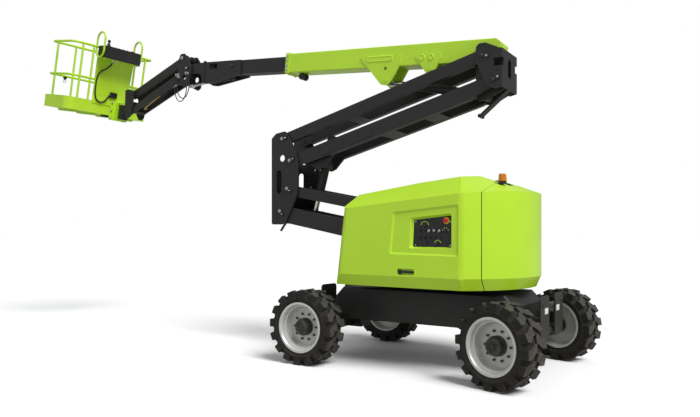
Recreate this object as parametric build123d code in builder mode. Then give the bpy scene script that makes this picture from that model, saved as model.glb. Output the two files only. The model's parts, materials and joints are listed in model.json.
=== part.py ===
"""Articulating boom lift, posed with the riser half up and the jib hanging down.

Millimetres. X runs from the platform end to the counterweight end, Z is up and the
origin lies on the ground under the slew axis. The near side is at negative Y.
"""

import os
from math import atan, cos, degrees, hypot, radians, sin

from build123d import *

os.makedirs("parts", exist_ok=True)

# Wheels and axles
wheelbase = 2340
track = 2010
tyre_diameter = 850
tyre_width = 315
rim_diameter = 555
lug_height = 28
lug_length = 88
lug_step = 52
lugs_per_side = 16
bead_depth = 16
steer_rest = -15
kingpin_inset = 190
kingpin_radius = 22
steer_arm = 150
steer_arm_drop = 50
spindle_radius = 45
hub_radius = 100
studs = 10

# Chassis
chassis_half_width = 500
chassis_bottom = 480
chassis_top = 860
guard_x = 1345
guard_thickness = 18
lashing_y = 370
lashing_z = 760
lashing_radius = 22

# Turntable, hoods and tail
deck_bottom = 920
deck_thickness = 25
slew_boss_radius = 300
body_bottom = 922
body_half_width = 970
tail_radius = 1200
shoulder_radius = 120
front_corner_radius = 80
crease_height = 1848
crease_slope = 0.1
bevel_slope = 0.5
skirt_height = 1045
skirt_inset = 52
hood_front = -825
hood_front_top = -705
hood_seam = 872
seam_gap = 8
roof_front = 1950
roof_knee = (44, 2076)
roof_peak = (640, 2142)
roof_shoulder = (760, 2130)
roof_seam = (876, 2082)
roof_tail = (1210, 1995)
channel_half_width = 275
panel_thickness = 6
hood_hinge_y = 310
hood_hinge_drop = 26
hood_hinge_stations = (-560, 430)
hinge_pin_radius = 10
window_low = (115, 1345)
window_high = (600, 1715)
recess_depth = 14
beacon_spot = (935, -365)
beacon_seat = 2045

# Layers across the machine, measured from the middle plane
cheek_inner = 126
cheek_outer = 146
beam_inner = 152
beam_outer = 232
plate_inner = 238
plate_outer = 258
side_play = 0.3
bore_play = 0.3
pin_radius = 32

# Riser, main boom and jib angles in the posed position
lower_riser_angle = 10.5
upper_riser_angle = 15.2
boom_angle = 4.3
jib_angle = 20.9
level_error = 9.5
platform_yaw = -7
lower_riser_length = 2400
upper_riser_length = 2850
jib_length = 1240

# Pins of the mid upright in side view, X and Z
mid_pin_a = (-2088, 2763)
mid_pin_b = (-1960, 2475)
mid_pin_c = (-2002, 2056)
mid_pin_d = (-2129, 1745)

# Main boom and fly section, measured along and across the boom from its pivot
boom_pivot_lift = 90
boom_pivot_back = -42
boom_nose = 2830
boom_half_height = 131
boom_half_width = 120
boom_wall = 10
boom_corner = 14
fly_half_height = 100
fly_half_width = 95
fly_inner_end = 1400
fly_seam = 3785
fly_nose = 4385
jib_pivot_along = 4702
jib_pivot_across = 21
lift_pin_along = 1236
lift_pin_across = -296

# Cylinders
riser_barrel_radius = 60
riser_rod_radius = 36
riser_barrel_half = 400
riser_rod_length = 895
riser_trunnion = (322, -171)
riser_eye = (341, 29)
lift_barrel_radius = 55
lift_rod_radius = 30
lift_barrel_length = 1010
lift_rod_reach = 880
lift_base_drop = 510
jib_barrel_radius = 36
jib_rod_radius = 20
level_barrel_radius = 36
level_rod_radius = 19

# Jib layers across the machine and its pins, measured from the jib pivot
jib_upper_inner = 42
jib_upper_outer = 78
jib_lower_inner = 84
jib_lower_outer = 118
jib_plate_inner = 122
jib_plate_outer = 140
jib_pin_radius = 26
jib_top_offset = (-110, 169)
jib_low_offset = (-176, -112)
level_pin_offset = (-38, -239)
level_base_spot = (3900, -125)
jib_cyl_base_offset = (45, 90)
jib_cyl_eye_spot = (985, 15)

# Platform
platform_length = 1460
platform_depth = 720
rail_height = 1080
rail_radius = 19
rail_setback = 1
post_radius = 17
outer_corner_radius = 45
boom_corner_radius = 130
toe_height = 150
toe_thickness = 5
floor_thickness = 45
tread_thickness = 4
tread_margin = 55
hoop_y = 335
hoop_rise = 230
hoop_drop = 170
hoop_depth = 230
platform_centre = (-6230, -97, 3473)
rotator_centre = (-5670, 0, 3420)
rotator_radius = 76
rotator_pin_radius = 30


def turned(origin, angle, along, across):
    """Point in side view, along and across a direction given in degrees."""
    c = cos(radians(angle))
    s = sin(radians(angle))
    return (origin[0] + along * c - across * s, origin[1] + along * s + across * c)


def side_plane(y):
    """Side-view plane whose sketch axes are X and Z and whose normal is -Y."""
    return Plane(origin=(0, y, 0), x_dir=(1, 0, 0), z_dir=(0, -1, 0))


def plate(points, y_low, y_high, mode=Mode.ADD, radius=0):
    """Flat plate with a side-view outline, between two Y positions, its corners rounded on request."""
    with BuildSketch(side_plane(y_high)) as face:
        with BuildLine():
            Polyline(*points, close=True)
        make_face()
        if radius:
            fillet(face.vertices(), radius)
    extrude(face.sketch, amount=y_high - y_low, mode=mode)


def disc(centre, radius, y_low, y_high, mode=Mode.ADD):
    """Round boss, pin or bore along Y at a side-view point."""
    with BuildSketch(side_plane(y_high)) as face:
        with Locations(centre):
            Circle(radius)
    extrude(face.sketch, amount=y_high - y_low, mode=mode)


def both_plates(points, inner, outer, mode=Mode.ADD, radius=0):
    """Plate repeated on both sides of the middle plane."""
    plate(points, inner, outer, mode, radius)
    plate(points, -outer, -inner, mode, radius)


def both_discs(centre, radius, inner, outer, mode=Mode.ADD):
    """Boss, pin or bore repeated on both sides of the middle plane."""
    disc(centre, radius, inner, outer, mode)
    disc(centre, radius, -outer, -inner, mode)


def strip(start, end, low, high, extend_start=0, extend_end=0):
    """Corners of a straight bar between two side-view points."""
    length = hypot(end[0] - start[0], end[1] - start[1])
    c = (end[0] - start[0]) / length
    s = (end[1] - start[1]) / length
    corners = []
    for along, across in (
        (-extend_start, low),
        (length + extend_end, low),
        (length + extend_end, high),
        (-extend_start, high),
    ):
        corners.append((start[0] + along * c - across * s, start[1] + along * s + across * c))
    return corners


def rod_between(start, end, radius, y=0, mode=Mode.ADD):
    """Round rod between two side-view points in the plane Y = y."""
    a = Vector(start[0], y, start[1])
    b = Vector(end[0], y, end[1])
    with Locations(Plane(origin=a, z_dir=b - a)):
        Cylinder(radius, (b - a).length, align=(Align.CENTER, Align.CENTER, Align.MIN), mode=mode)


def twin_beams(start, end, low, high, end_radius, inner, outer):
    """Two equal side beams with round bored ends."""
    both_plates(strip(start, end, low, high), inner, outer)
    for pin in (start, end):
        both_discs(pin, end_radius, inner, outer)


def pin_bores(pins, inner, outer):
    """Clear bores for the pins of the neighbouring pieces."""
    for pin in pins:
        both_discs(pin, pin_radius + bore_play, inner, outer, Mode.SUBTRACT)


def boom_point(along, across):
    """Side-view point along the main boom from its pivot and square to it."""
    c = cos(radians(boom_angle))
    s = sin(radians(boom_angle))
    return (
        boom_pivot[0] - along * c + across * s,
        boom_pivot[1] + along * s + across * c,
    )


def boom_outline(points):
    """Side-view corners from distances along and across the main boom."""
    return [boom_point(u, v) for u, v in points]


def boom_section(along):
    """Plane square to the main boom at a distance from its pivot, facing the nose."""
    x, z = boom_point(along, 0)
    c = cos(radians(boom_angle))
    s = sin(radians(boom_angle))
    return Plane(origin=(x, 0, z), x_dir=(0, -1, 0), z_dir=(-c, 0, s))


# Derived pins
post_pin_c = turned(mid_pin_c, -lower_riser_angle, lower_riser_length, 0)
post_pin_d = turned(mid_pin_d, -lower_riser_angle, lower_riser_length, 0)
top_pin_e = turned(mid_pin_a, upper_riser_angle, upper_riser_length, 0)
top_pin_f = turned(mid_pin_b, upper_riser_angle, upper_riser_length, 0)
boom_pivot = (top_pin_e[0] + boom_pivot_back, top_pin_e[1] + boom_pivot_lift)
lift_base = (boom_pivot[0], boom_pivot[1] - lift_base_drop)
lift_pin = boom_point(lift_pin_along, lift_pin_across)
trunnion = turned(mid_pin_b, upper_riser_angle, *riser_trunnion)
rod_eye = turned(mid_pin_d, -lower_riser_angle, *riser_eye)
jib_pivot = boom_point(jib_pivot_along, jib_pivot_across)
jib_pin_top = (jib_pivot[0] + jib_top_offset[0], jib_pivot[1] + jib_top_offset[1])
jib_pin_low = (jib_pivot[0] + jib_low_offset[0], jib_pivot[1] + jib_low_offset[1])
level_pin = (jib_pivot[0] + level_pin_offset[0], jib_pivot[1] + level_pin_offset[1])
level_base = boom_point(*level_base_spot)
out_pin_top = turned(jib_pin_top, 180 + jib_angle, jib_length, 0)
out_pin_low = turned(jib_pin_low, 180 + jib_angle, jib_length, 0)
jib_cyl_base = (jib_pin_low[0] + jib_cyl_base_offset[0], jib_pin_low[1] + jib_cyl_base_offset[1])
jib_cyl_eye = turned(jib_pin_low, 180 + jib_angle, *jib_cyl_eye_spot)
axle_height = tyre_diameter / 2
drive_x = -wheelbase / 2
steer_x = wheelbase / 2
wheel_y = track / 2
kingpin_y = wheel_y - kingpin_inset

level_turn = Location((0, 0, 0), (0, level_error, 0))
platform_plane = Plane(Location(platform_centre) * level_turn * Location((0, 0, 0), (0, 0, platform_yaw)))
rotator_plane = Plane(Location(rotator_centre) * level_turn)

# Chassis frame: box with sloped ends, axle brackets and end guards with lashing eyes
with BuildPart() as chassis_frame:
    frame_profile = [
        (-1000, chassis_top),
        (-1115, chassis_top - 120),
        (-1115, chassis_bottom + 85),
        (-1030, chassis_bottom),
        (1030, chassis_bottom),
        (1115, chassis_bottom + 85),
        (1115, chassis_top - 120),
        (1000, chassis_top),
    ]
    plate(frame_profile, -chassis_half_width, chassis_half_width, radius=20)
    side_edges = chassis_frame.faces().filter_by(Axis.Y).edges().filter_by(Axis.X)
    fillet(side_edges, 25)
    for end in (-1, 1):
        bracket = [
            (end * 960, 640),
            (end * guard_x, 640),
            (end * guard_x, axle_height + 90),
            (end * 1040, axle_height + 90),
            (end * 960, 500),
        ]
        both_plates(bracket, 300, 420)
        for side in (-1, 1):
            with BuildSketch(Plane.YZ.offset(end * guard_x)) as guard:
                with Locations((side * 275, (chassis_top + 410) / 2)):
                    RectangleRounded(320, chassis_top - 410, 45)
                with Locations((side * lashing_y, lashing_z)):
                    Circle(lashing_radius, mode=Mode.SUBTRACT)
            extrude(guard.sketch, amount=end * guard_thickness)
    with Locations((0, 0, chassis_top)):
        Cylinder(430, 22, align=(Align.CENTER, Align.CENTER, Align.MIN))
chassis_frame.part.label = "chassis_frame"
export_step(chassis_frame.part, "parts/chassis_frame.step")

# Slew ring between chassis and turntable
with BuildPart() as slew_ring:
    with Locations((0, 0, chassis_top + 22)):
        ring_height = deck_bottom - chassis_top - 22 - side_play
        Cylinder(400, ring_height, align=(Align.CENTER, Align.CENTER, Align.MIN))
        Cylinder(slew_boss_radius + bore_play, 100, mode=Mode.SUBTRACT)
slew_ring.part.label = "slew_ring"
export_step(slew_ring.part, "parts/slew_ring.step")

# Drive axle: rigid beam with hub flanges and a drive housing
with BuildPart() as drive_axle:
    plate(
        [
            (drive_x - 75, axle_height - 75),
            (drive_x + 75, axle_height - 75),
            (drive_x + 75, axle_height + 90),
            (drive_x - 75, axle_height + 90),
        ],
        -600,
        600,
    )
    both_discs((drive_x, axle_height), 110, 560, wheel_y - 110)
    disc((drive_x, axle_height), spindle_radius, -wheel_y, wheel_y)
    with Locations((drive_x + 110, 0, axle_height - 20)):
        Box(170, 240, 145)
drive_axle.part.label = "drive_axle"
export_step(drive_axle.part, "parts/drive_axle.step")

# Steer axle: beam with kingpin forks and the steering cylinder across it
with BuildPart() as steer_axle:
    plate(
        [
            (steer_x - 70, axle_height - 70),
            (steer_x + 70, axle_height - 70),
            (steer_x + 70, axle_height + 90),
            (steer_x - 70, axle_height + 90),
        ],
        -kingpin_y + 110,
        kingpin_y - 110,
    )
    for side in (-1, 1):
        for low, high in ((-98, -68), (68, 98)):
            with Locations((steer_x, side * (kingpin_y - 55), axle_height + (low + high) / 2)):
                Box(110, 150, high - low)
        with Locations((steer_x, side * kingpin_y, axle_height)):
            Cylinder(kingpin_radius, 210)
        with Locations((steer_x, side * (kingpin_y - 120), axle_height)):
            Box(110, 30, 196)
    with Locations(Plane(origin=(steer_x + 125, -230, axle_height + 40), z_dir=(0, 1, 0))):
        Cylinder(38, 460, align=(Align.CENTER, Align.CENTER, Align.MIN))
    with Locations(Plane(origin=(steer_x + 125, -470, axle_height + 40), z_dir=(0, 1, 0))):
        Cylinder(18, 940, align=(Align.CENTER, Align.CENTER, Align.MIN))
    for side in (-1, 1):
        with Locations((steer_x + 95, side * 200, axle_height + 40)):
            Box(80, 24, 70)
steer_axle.part.label = "steer_axle"
export_step(steer_axle.part, "parts/steer_axle.step")


def knuckle(side):
    """Steer knuckle turned to the posed angle about its kingpin."""
    pose = Location((steer_x, side * kingpin_y, axle_height), (0, 0, steer_rest))
    with Locations(pose):
        with Locations((0, 0, 0)):
            Cylinder(44, 134)
        with Locations((0, side * 50, 0)):
            Box(90, 90, 120)
        with Locations(Location((0, side * 70, 0), (90, 0, 0))):
            Cylinder(100, 30)
        with Locations(Location((0, side * (kingpin_inset + 60) / 2, 0), (90, 0, 0))):
            Cylinder(spindle_radius, kingpin_inset - 60)
        with Locations((-steer_arm / 2, 0, -steer_arm_drop)):
            Box(steer_arm, 54, 26)
        with Locations((-steer_arm, 0, -steer_arm_drop)):
            Cylinder(27, 26)
        with Locations((0, 0, 0)):
            Cylinder(kingpin_radius + bore_play, 140, mode=Mode.SUBTRACT)
        with Locations((-steer_arm, 0, -steer_arm_drop)):
            Cylinder(14 + bore_play, 60, mode=Mode.SUBTRACT)


with BuildPart() as knuckle_near:
    knuckle(-1)
knuckle_near.part.label = "knuckle_near"
export_step(knuckle_near.part, "parts/knuckle_near.step")

with BuildPart() as knuckle_far:
    knuckle(1)
knuckle_far.part.label = "knuckle_far"
export_step(knuckle_far.part, "parts/knuckle_far.step")


def steer_arm_pin(side):
    """Centre of the tie-rod pin on a knuckle."""
    spot = Location((steer_x, side * kingpin_y, axle_height), (0, 0, steer_rest)) * Location(
        (-steer_arm, 0, -steer_arm_drop)
    )
    return spot.position


# Tie rod joining the two knuckle arms behind the axle
with BuildPart() as tie_rod:
    near_end = steer_arm_pin(-1)
    far_end = steer_arm_pin(1)
    with Locations(Plane(origin=near_end - Vector(0, 0, 40), z_dir=far_end - near_end)):
        Cylinder(18, (far_end - near_end).length, align=(Align.CENTER, Align.CENTER, Align.MIN))
    for end in (near_end, far_end):
        with Locations(end - Vector(0, 0, 40)):
            Cylinder(26, 40)
        with Locations(end - Vector(0, 0, 20)):
            Cylinder(14, 90)
tie_rod.part.label = "tie_rod"
export_step(tie_rod.part, "parts/tie_rod.step")


# Tyre pattern about the local Y axis: faceted carcass with two staggered rows of stepped lugs
tyre_sides = 2 * lugs_per_side
carcass = tyre_diameter / 2 - lug_height
tyre_half = tyre_width / 2
lug_reach = (lug_length + lug_step) / 2
crown = (tyre_diameter**2 / 4 - lug_reach**2) ** 0.5
shoulder_drop = 62
shoulder_width = 46
with BuildPart() as tyre_pattern:
    rings = []
    for across, radius in (
        (-tyre_half, carcass - shoulder_drop),
        (-tyre_half + shoulder_width, carcass),
        (tyre_half - shoulder_width, carcass),
        (tyre_half, carcass - shoulder_drop),
    ):
        with BuildSketch(Plane.XZ.offset(across)) as ring:
            RegularPolygon(radius, tyre_sides)
        rings.append(ring.sketch.faces()[0])
    for first, second in zip(rings, rings[1:]):
        loft([first, second], ruled=True)
    stepped_lug = [
        (5, -lug_reach),
        (tyre_half * 0.3, -lug_reach),
        (tyre_half * 0.65, lug_step - lug_reach),
        (tyre_half - 5, lug_step - lug_reach),
        (tyre_half - 5, lug_reach),
        (tyre_half * 0.55, lug_reach),
        (tyre_half * 0.2, lug_reach - lug_step),
        (5, lug_reach - lug_step),
    ]
    lugs = []
    for side in (-1, 1):
        with BuildSketch(Plane.XY.offset(carcass - 70)) as foot:
            with BuildLine():
                Polyline(*[(t, side * a) for a, t in stepped_lug], close=True)
            make_face()
        lug = extrude(foot.sketch, amount=crown - carcass + 70, mode=Mode.PRIVATE)
        for step in range(lugs_per_side):
            angle = 360 / lugs_per_side * (step + (0.5 if side > 0 else 0))
            lugs.append(Location((0, 0, 0), (0, angle, 0)) * lug)
    add(lugs)
    with Locations(Location((0, 0, 0), (90, 0, 0))):
        Cylinder(rim_diameter / 2, tyre_width + 20, mode=Mode.SUBTRACT)
    for side in (-1, 1):
        with BuildSketch(Plane.XY) as bead:
            with BuildLine():
                Polyline(
                    (rim_diameter / 2 - 5, side * (tyre_half - bead_depth)),
                    (rim_diameter / 2, side * (tyre_half - bead_depth)),
                    (rim_diameter / 2 + 50, side * tyre_half),
                    (rim_diameter / 2 + 50, side * (tyre_half + 5)),
                    (rim_diameter / 2 - 5, side * (tyre_half + 5)),
                    close=True,
                )
            make_face()
        revolve(bead.sketch, axis=Axis.Y, mode=Mode.SUBTRACT)

# Rim pattern with its outer face towards +Y: deep dish, stepped barrel, hub and studs
with BuildPart() as rim_pattern:
    rim_radius = rim_diameter / 2
    hub_bore = spindle_radius + bore_play
    dish = 18
    rim_profile = [
        (hub_bore, -60),
        (hub_bore, 105),
        (0.62 * hub_radius, 128),
        (0.86 * hub_radius, 112),
        (hub_radius, 70),
        (hub_radius, dish),
        (rim_radius - 66, dish - 14),
        (rim_radius - 52, dish + 6),
        (rim_radius - 44, tyre_half - 72),
        (rim_radius - 30, tyre_half - 62),
        (rim_radius - 24, tyre_half - 20),
        (rim_radius - 14, tyre_half - 4),
        (rim_radius + 8, tyre_half - 4),
        (rim_radius + 8, tyre_half - 13),
        (rim_radius, tyre_half - bead_depth + 1),
        (rim_radius, -tyre_half + 4),
        (rim_radius - 20, -tyre_half + 4),
        (rim_radius - 45, -40),
        (140, -40),
        (140, -60),
    ]
    with BuildSketch(Plane.XY) as rim_section:
        with BuildLine():
            Polyline(*rim_profile, close=True)
        make_face()
    revolve(rim_section.sketch, axis=Axis.Y)
    with Locations(Location((0, 116, 0), (90, 0, 0))):
        Cylinder(0.62 * hub_radius, 20)
    stud_circle = hub_radius + 48
    with Locations(Location((0, dish, 0), (90, 0, 0))):
        with PolarLocations(stud_circle, studs):
            Cylinder(13, 34)
turned_rim = Location((0, 0, 0), (0, 0, 180)) * rim_pattern.part

drive_pose_near = Location((drive_x, -wheel_y, axle_height))
drive_pose_far = Location((drive_x, wheel_y, axle_height))
kingpin_near = Location((steer_x, -kingpin_y, axle_height), (0, 0, steer_rest))
kingpin_far = Location((steer_x, kingpin_y, axle_height), (0, 0, steer_rest))
steer_pose_near = kingpin_near * Location((0, -kingpin_inset, 0))
steer_pose_far = kingpin_far * Location((0, kingpin_inset, 0))

with BuildPart() as tyre_drive_near:
    add(drive_pose_near * tyre_pattern.part)
tyre_drive_near.part.label = "tyre_drive_near"
export_step(tyre_drive_near.part, "parts/tyre_drive_near.step")

with BuildPart() as tyre_drive_far:
    add(drive_pose_far * tyre_pattern.part)
tyre_drive_far.part.label = "tyre_drive_far"
export_step(tyre_drive_far.part, "parts/tyre_drive_far.step")

with BuildPart() as tyre_steer_near:
    add(steer_pose_near * tyre_pattern.part)
tyre_steer_near.part.label = "tyre_steer_near"
export_step(tyre_steer_near.part, "parts/tyre_steer_near.step")

with BuildPart() as tyre_steer_far:
    add(steer_pose_far * tyre_pattern.part)
tyre_steer_far.part.label = "tyre_steer_far"
export_step(tyre_steer_far.part, "parts/tyre_steer_far.step")

with BuildPart() as rim_drive_near:
    add(drive_pose_near * turned_rim)
rim_drive_near.part.label = "rim_drive_near"
export_step(rim_drive_near.part, "parts/rim_drive_near.step")

with BuildPart() as rim_drive_far:
    add(drive_pose_far * rim_pattern.part)
rim_drive_far.part.label = "rim_drive_far"
export_step(rim_drive_far.part, "parts/rim_drive_far.step")

with BuildPart() as rim_steer_near:
    add(steer_pose_near * turned_rim)
rim_steer_near.part.label = "rim_steer_near"
export_step(rim_steer_near.part, "parts/rim_steer_near.step")

with BuildPart() as rim_steer_far:
    add(steer_pose_far * rim_pattern.part)
rim_steer_far.part.label = "rim_steer_far"
export_step(rim_steer_far.part, "parts/rim_steer_far.step")

# Roof line of the turntable cover in side view, from the front edge to the tail
roof_line = [
    (hood_front_top, roof_front),
    roof_knee,
    roof_peak,
    roof_shoulder,
    roof_seam,
    roof_tail,
]


def roof_height(x):
    """Height of the roof line at a place along the machine."""
    for (x1, z1), (x2, z2) in zip(roof_line, roof_line[1:]):
        if x <= x2:
            break
    return z1 + (z2 - z1) * (x - x1) / (x2 - x1)


hinge_ends = [(x, roof_height(x) - hood_hinge_drop) for x in hood_hinge_stations]
hinge_slope = (hinge_ends[1][1] - hinge_ends[0][1]) / (hinge_ends[1][0] - hinge_ends[0][0])
hinge_tilt = degrees(atan(hinge_slope))

# Turntable frame: deck, hood hinge posts, channel walls and the posts that carry the riser
deck_top = deck_bottom + deck_thickness
with BuildPart() as turntable_frame:
    with BuildSketch(Plane.XY.offset(deck_bottom)) as deck:
        with Locations((hood_front + 25, 0)):
            Rectangle(560 - hood_front - 25, 2 * body_half_width - 160, align=(Align.MIN, Align.CENTER))
        with Locations((hood_seam + seam_gap / 2, 0)):
            Rectangle(400, 1400, align=(Align.MAX, Align.CENTER))
        fillet(deck.vertices().filter_by(lambda corner: corner.X < 0), 60)
    extrude(deck.sketch, amount=deck_thickness)
    with Locations((0, 0, deck_bottom)):
        Cylinder(slew_boss_radius, 30, align=(Align.CENTER, Align.CENTER, Align.MAX))
    for side in (-1, 1):
        for x, z in hinge_ends:
            with Locations((x, side * hood_hinge_y, deck_top)):
                Box(50, 30, z - deck_top, align=(Align.CENTER, Align.CENTER, Align.MIN))
            with Locations(Location((x, side * hood_hinge_y, z), (0, 90 - hinge_tilt, 0))):
                Cylinder(hinge_pin_radius, 110)
    post = [
        (post_pin_d[0] - 190, deck_top),
        (post_pin_c[0] + 170, deck_top),
        (post_pin_c[0] + 105, post_pin_c[1] + 40),
        (post_pin_c[0] + 55, post_pin_c[1] + 90),
        (post_pin_c[0] - 60, post_pin_c[1] + 90),
        (post_pin_d[0] - 110, post_pin_d[1] + 60),
    ]
    both_plates(post, plate_inner, plate_outer, radius=25)
    channel_wall = [
        (hood_front + 60, deck_top),
        (540, deck_top),
        (540, deck_top + 295),
        (hood_front + 120, deck_top + 295),
    ]
    both_plates(channel_wall, plate_outer, plate_outer + 12)
    for pin in (post_pin_c, post_pin_d):
        both_discs(pin, pin_radius, cheek_outer, plate_outer + 10)
    cross_wall = [
        (post_pin_c[0] + 60, deck_top),
        (post_pin_c[0] + 90, deck_top),
        (post_pin_c[0] + 90, 1300),
        (post_pin_c[0] + 60, 1300),
    ]
    plate(cross_wall, -plate_inner, plate_inner)
turntable_frame.part.label = "turntable_frame"
export_step(turntable_frame.part, "parts/turntable_frame.step")


def body_block(inset):
    """Solid form of the turntable cover, moved inwards by the panel thickness for its inside."""
    half = body_half_width - inset
    radius = tail_radius - inset
    front = hood_front + inset
    floor = body_bottom - (60 if inset else 0)
    with BuildPart() as form:
        with BuildSketch(Plane.XY.offset(floor)) as plan:
            Circle(radius)
            with Locations((front, 0)):
                Rectangle(-front, 2 * half, align=(Align.MIN, Align.CENTER))
                Rectangle(radius - front + 10, 2 * half, align=(Align.MIN, Align.CENTER), mode=Mode.INTERSECT)
            fillet(plan.vertices().filter_by(lambda corner: corner.X > front + 900), shoulder_radius)
        extrude(plan.sketch, amount=roof_peak[1] - floor + 50)
        with BuildSketch(side_plane(half + 50)) as outline:
            with BuildLine():
                Polyline(
                    (front, floor),
                    *[(x + (inset if x < front + 200 else 0), z - inset) for x, z in roof_line],
                    (roof_tail[0], floor),
                    close=True,
                )
            make_face()
        extrude(outline.sketch, amount=2 * half + 100, mode=Mode.INTERSECT)
        upright_edges = form.edges().filter_by(lambda e: e.length > 600 and e.center().X < front + 200)
        fillet(upright_edges.filter_by(lambda e: abs(e.center().Y) > half - 10), front_corner_radius - inset)
        for side in (-1, 1):
            bevel_normal = Vector(-crease_slope, side * bevel_slope, 1).normalized()
            bevel_origin = Vector(0, side * body_half_width, crease_height) - bevel_normal * inset
            with Locations(Plane(origin=bevel_origin, x_dir=(1, 0, crease_slope), z_dir=bevel_normal)):
                Box(4000, 1500, 600, align=(Align.CENTER, Align.CENTER, Align.MIN), mode=Mode.SUBTRACT)
            skirt_drop = skirt_height - body_bottom
            skirt_normal = Vector(0, side * skirt_drop, -skirt_inset).normalized()
            skirt_origin = Vector(0, side * body_half_width, skirt_height) - skirt_normal * inset
            with Locations(Plane(origin=skirt_origin, x_dir=(1, 0, 0), z_dir=skirt_normal)):
                Box(4000, 600, 300, align=(Align.CENTER, Align.CENTER, Align.MIN), mode=Mode.SUBTRACT)
        radial_plane = Plane(origin=(0, 0, 0), x_dir=(0, -1, 0), z_dir=(-1, 0, 0))
        drop = inset * hypot(1, bevel_slope)
        with BuildSketch(radial_plane) as bevel_section:
            with BuildLine():
                Polyline(
                    (0, bevel_slope * tail_radius - drop),
                    (tail_radius + 200, -bevel_slope * 200 - drop),
                    (tail_radius + 200, 900),
                    (0, 900),
                    close=True,
                )
            make_face()
        bevel_cone = revolve(bevel_section.sketch, axis=Axis.Z, revolution_arc=180, mode=Mode.PRIVATE)
        tilt = Location((0, 0, crease_height), (0, -degrees(atan(crease_slope)), 0))
        add(tilt * bevel_cone, mode=Mode.SUBTRACT)
        with BuildSketch(radial_plane) as skirt_section:
            with BuildLine():
                Polyline(
                    (radius, skirt_height),
                    (radius - skirt_inset, body_bottom),
                    (radius - skirt_inset, body_bottom - 100),
                    (radius + 100, body_bottom - 100),
                    (radius + 100, skirt_height),
                    close=True,
                )
            make_face()
        skirt_cone = revolve(skirt_section.sketch, axis=Axis.Z, revolution_arc=180, mode=Mode.PRIVATE)
        add(skirt_cone, mode=Mode.SUBTRACT)
    return form.part


body_outside = body_block(0)
body_inside = body_block(panel_thickness)

# Counterweight tail: round in plan and bevelled, with a pocket for the stowed riser head
with BuildPart() as counterweight:
    add(body_outside)
    with Locations((hood_seam + seam_gap / 2, 0, 0)):
        Box(800, 3000, 5000, align=(Align.MIN, Align.CENTER, Align.CENTER), mode=Mode.INTERSECT)
    with Locations((990, 0, 1180)):
        Box(
            400,
            2 * channel_half_width,
            1200,
            align=(Align.MAX, Align.CENTER, Align.MIN),
            mode=Mode.SUBTRACT,
        )
    with Locations((*beacon_spot, beacon_seat)):
        Cylinder(58, 200, align=(Align.CENTER, Align.CENTER, Align.MIN), mode=Mode.SUBTRACT)
counterweight.part.label = "counterweight"
export_step(counterweight.part, "parts/counterweight.step")

# Engine under the far hood
with BuildPart() as engine_block:
    with Locations((-60, 620, deck_top)):
        Box(900, 480, 620, align=(Align.CENTER, Align.CENTER, Align.MIN))
engine_block.part.label = "engine_block"
export_step(engine_block.part, "parts/engine_block.step")


def hood(side):
    """Hollow side hood, open below, towards the riser and towards the tail, with hinge lugs."""
    add(body_outside)
    with Locations((hood_front - 10, side * (channel_half_width + 10), body_bottom)):
        Box(
            hood_seam - seam_gap / 2 - hood_front + 10,
            body_half_width,
            1500,
            align=(Align.MIN, Align.MIN if side > 0 else Align.MAX, Align.MIN),
            mode=Mode.INTERSECT,
        )
    add(body_inside, mode=Mode.SUBTRACT)
    for x, z in hinge_ends:
        for step in (-1, 1):
            with Locations(Location((x, side * hood_hinge_y, z), (0, -hinge_tilt, 0))):
                with Locations((step * 38, 0, hood_hinge_drop - 25)):
                    Box(16, 40, 42)
                with Locations(Location((step * 38, 0, 0), (0, 90, 0))):
                    Cylinder(hinge_pin_radius + bore_play, 40, mode=Mode.SUBTRACT)


def near_pocket(points, depth_start, depth_end, grow=0, radius=25):
    """Block through the near hood side with a rounded outline, between two depths."""
    with BuildSketch(side_plane(-body_half_width + depth_end)) as opening:
        with BuildLine():
            Polyline(*points, close=True)
        make_face()
        fillet(opening.vertices(), radius)
        if grow:
            offset(amount=grow)
    return extrude(opening.sketch, amount=depth_end - depth_start, mode=Mode.PRIVATE)


# Near hood: stepped recess around the control window, and a recess for the latch handle
with BuildPart() as hood_near:
    hood(-1)
    recess = [(-70, 1732), (682, 1806), (678, 1270), (-116, 1281)]
    window = [
        window_low,
        (window_high[0], window_low[1] + 8),
        window_high,
        (window_low[0] + 20, window_high[1] - 45),
    ]
    handle = [(-20, 1062), (185, 1062), (185, 1128), (-20, 1128)]
    add(near_pocket(recess, panel_thickness / 2, recess_depth + panel_thickness, grow=panel_thickness))
    add(near_pocket(recess, -10, recess_depth), mode=Mode.SUBTRACT)
    add(near_pocket(window, recess_depth, recess_depth + 30, grow=panel_thickness))
    add(near_pocket(window, -10, recess_depth + 60), mode=Mode.SUBTRACT)
    add(near_pocket(handle, panel_thickness / 2, 30 + panel_thickness, grow=panel_thickness))
    add(near_pocket(handle, -10, 30), mode=Mode.SUBTRACT)
hood_near.part.label = "hood_near"
export_step(hood_near.part, "parts/hood_near.step")

# Far hood over the engine, with cooling louvres cut through its side
with BuildPart() as hood_far:
    hood(1)
    for row in range(9):
        with Locations((-280, body_half_width, 1250 + 45 * row)):
            Box(460, 60, 16, mode=Mode.SUBTRACT)
hood_far.part.label = "hood_far"
export_step(hood_far.part, "parts/hood_far.step")

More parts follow.
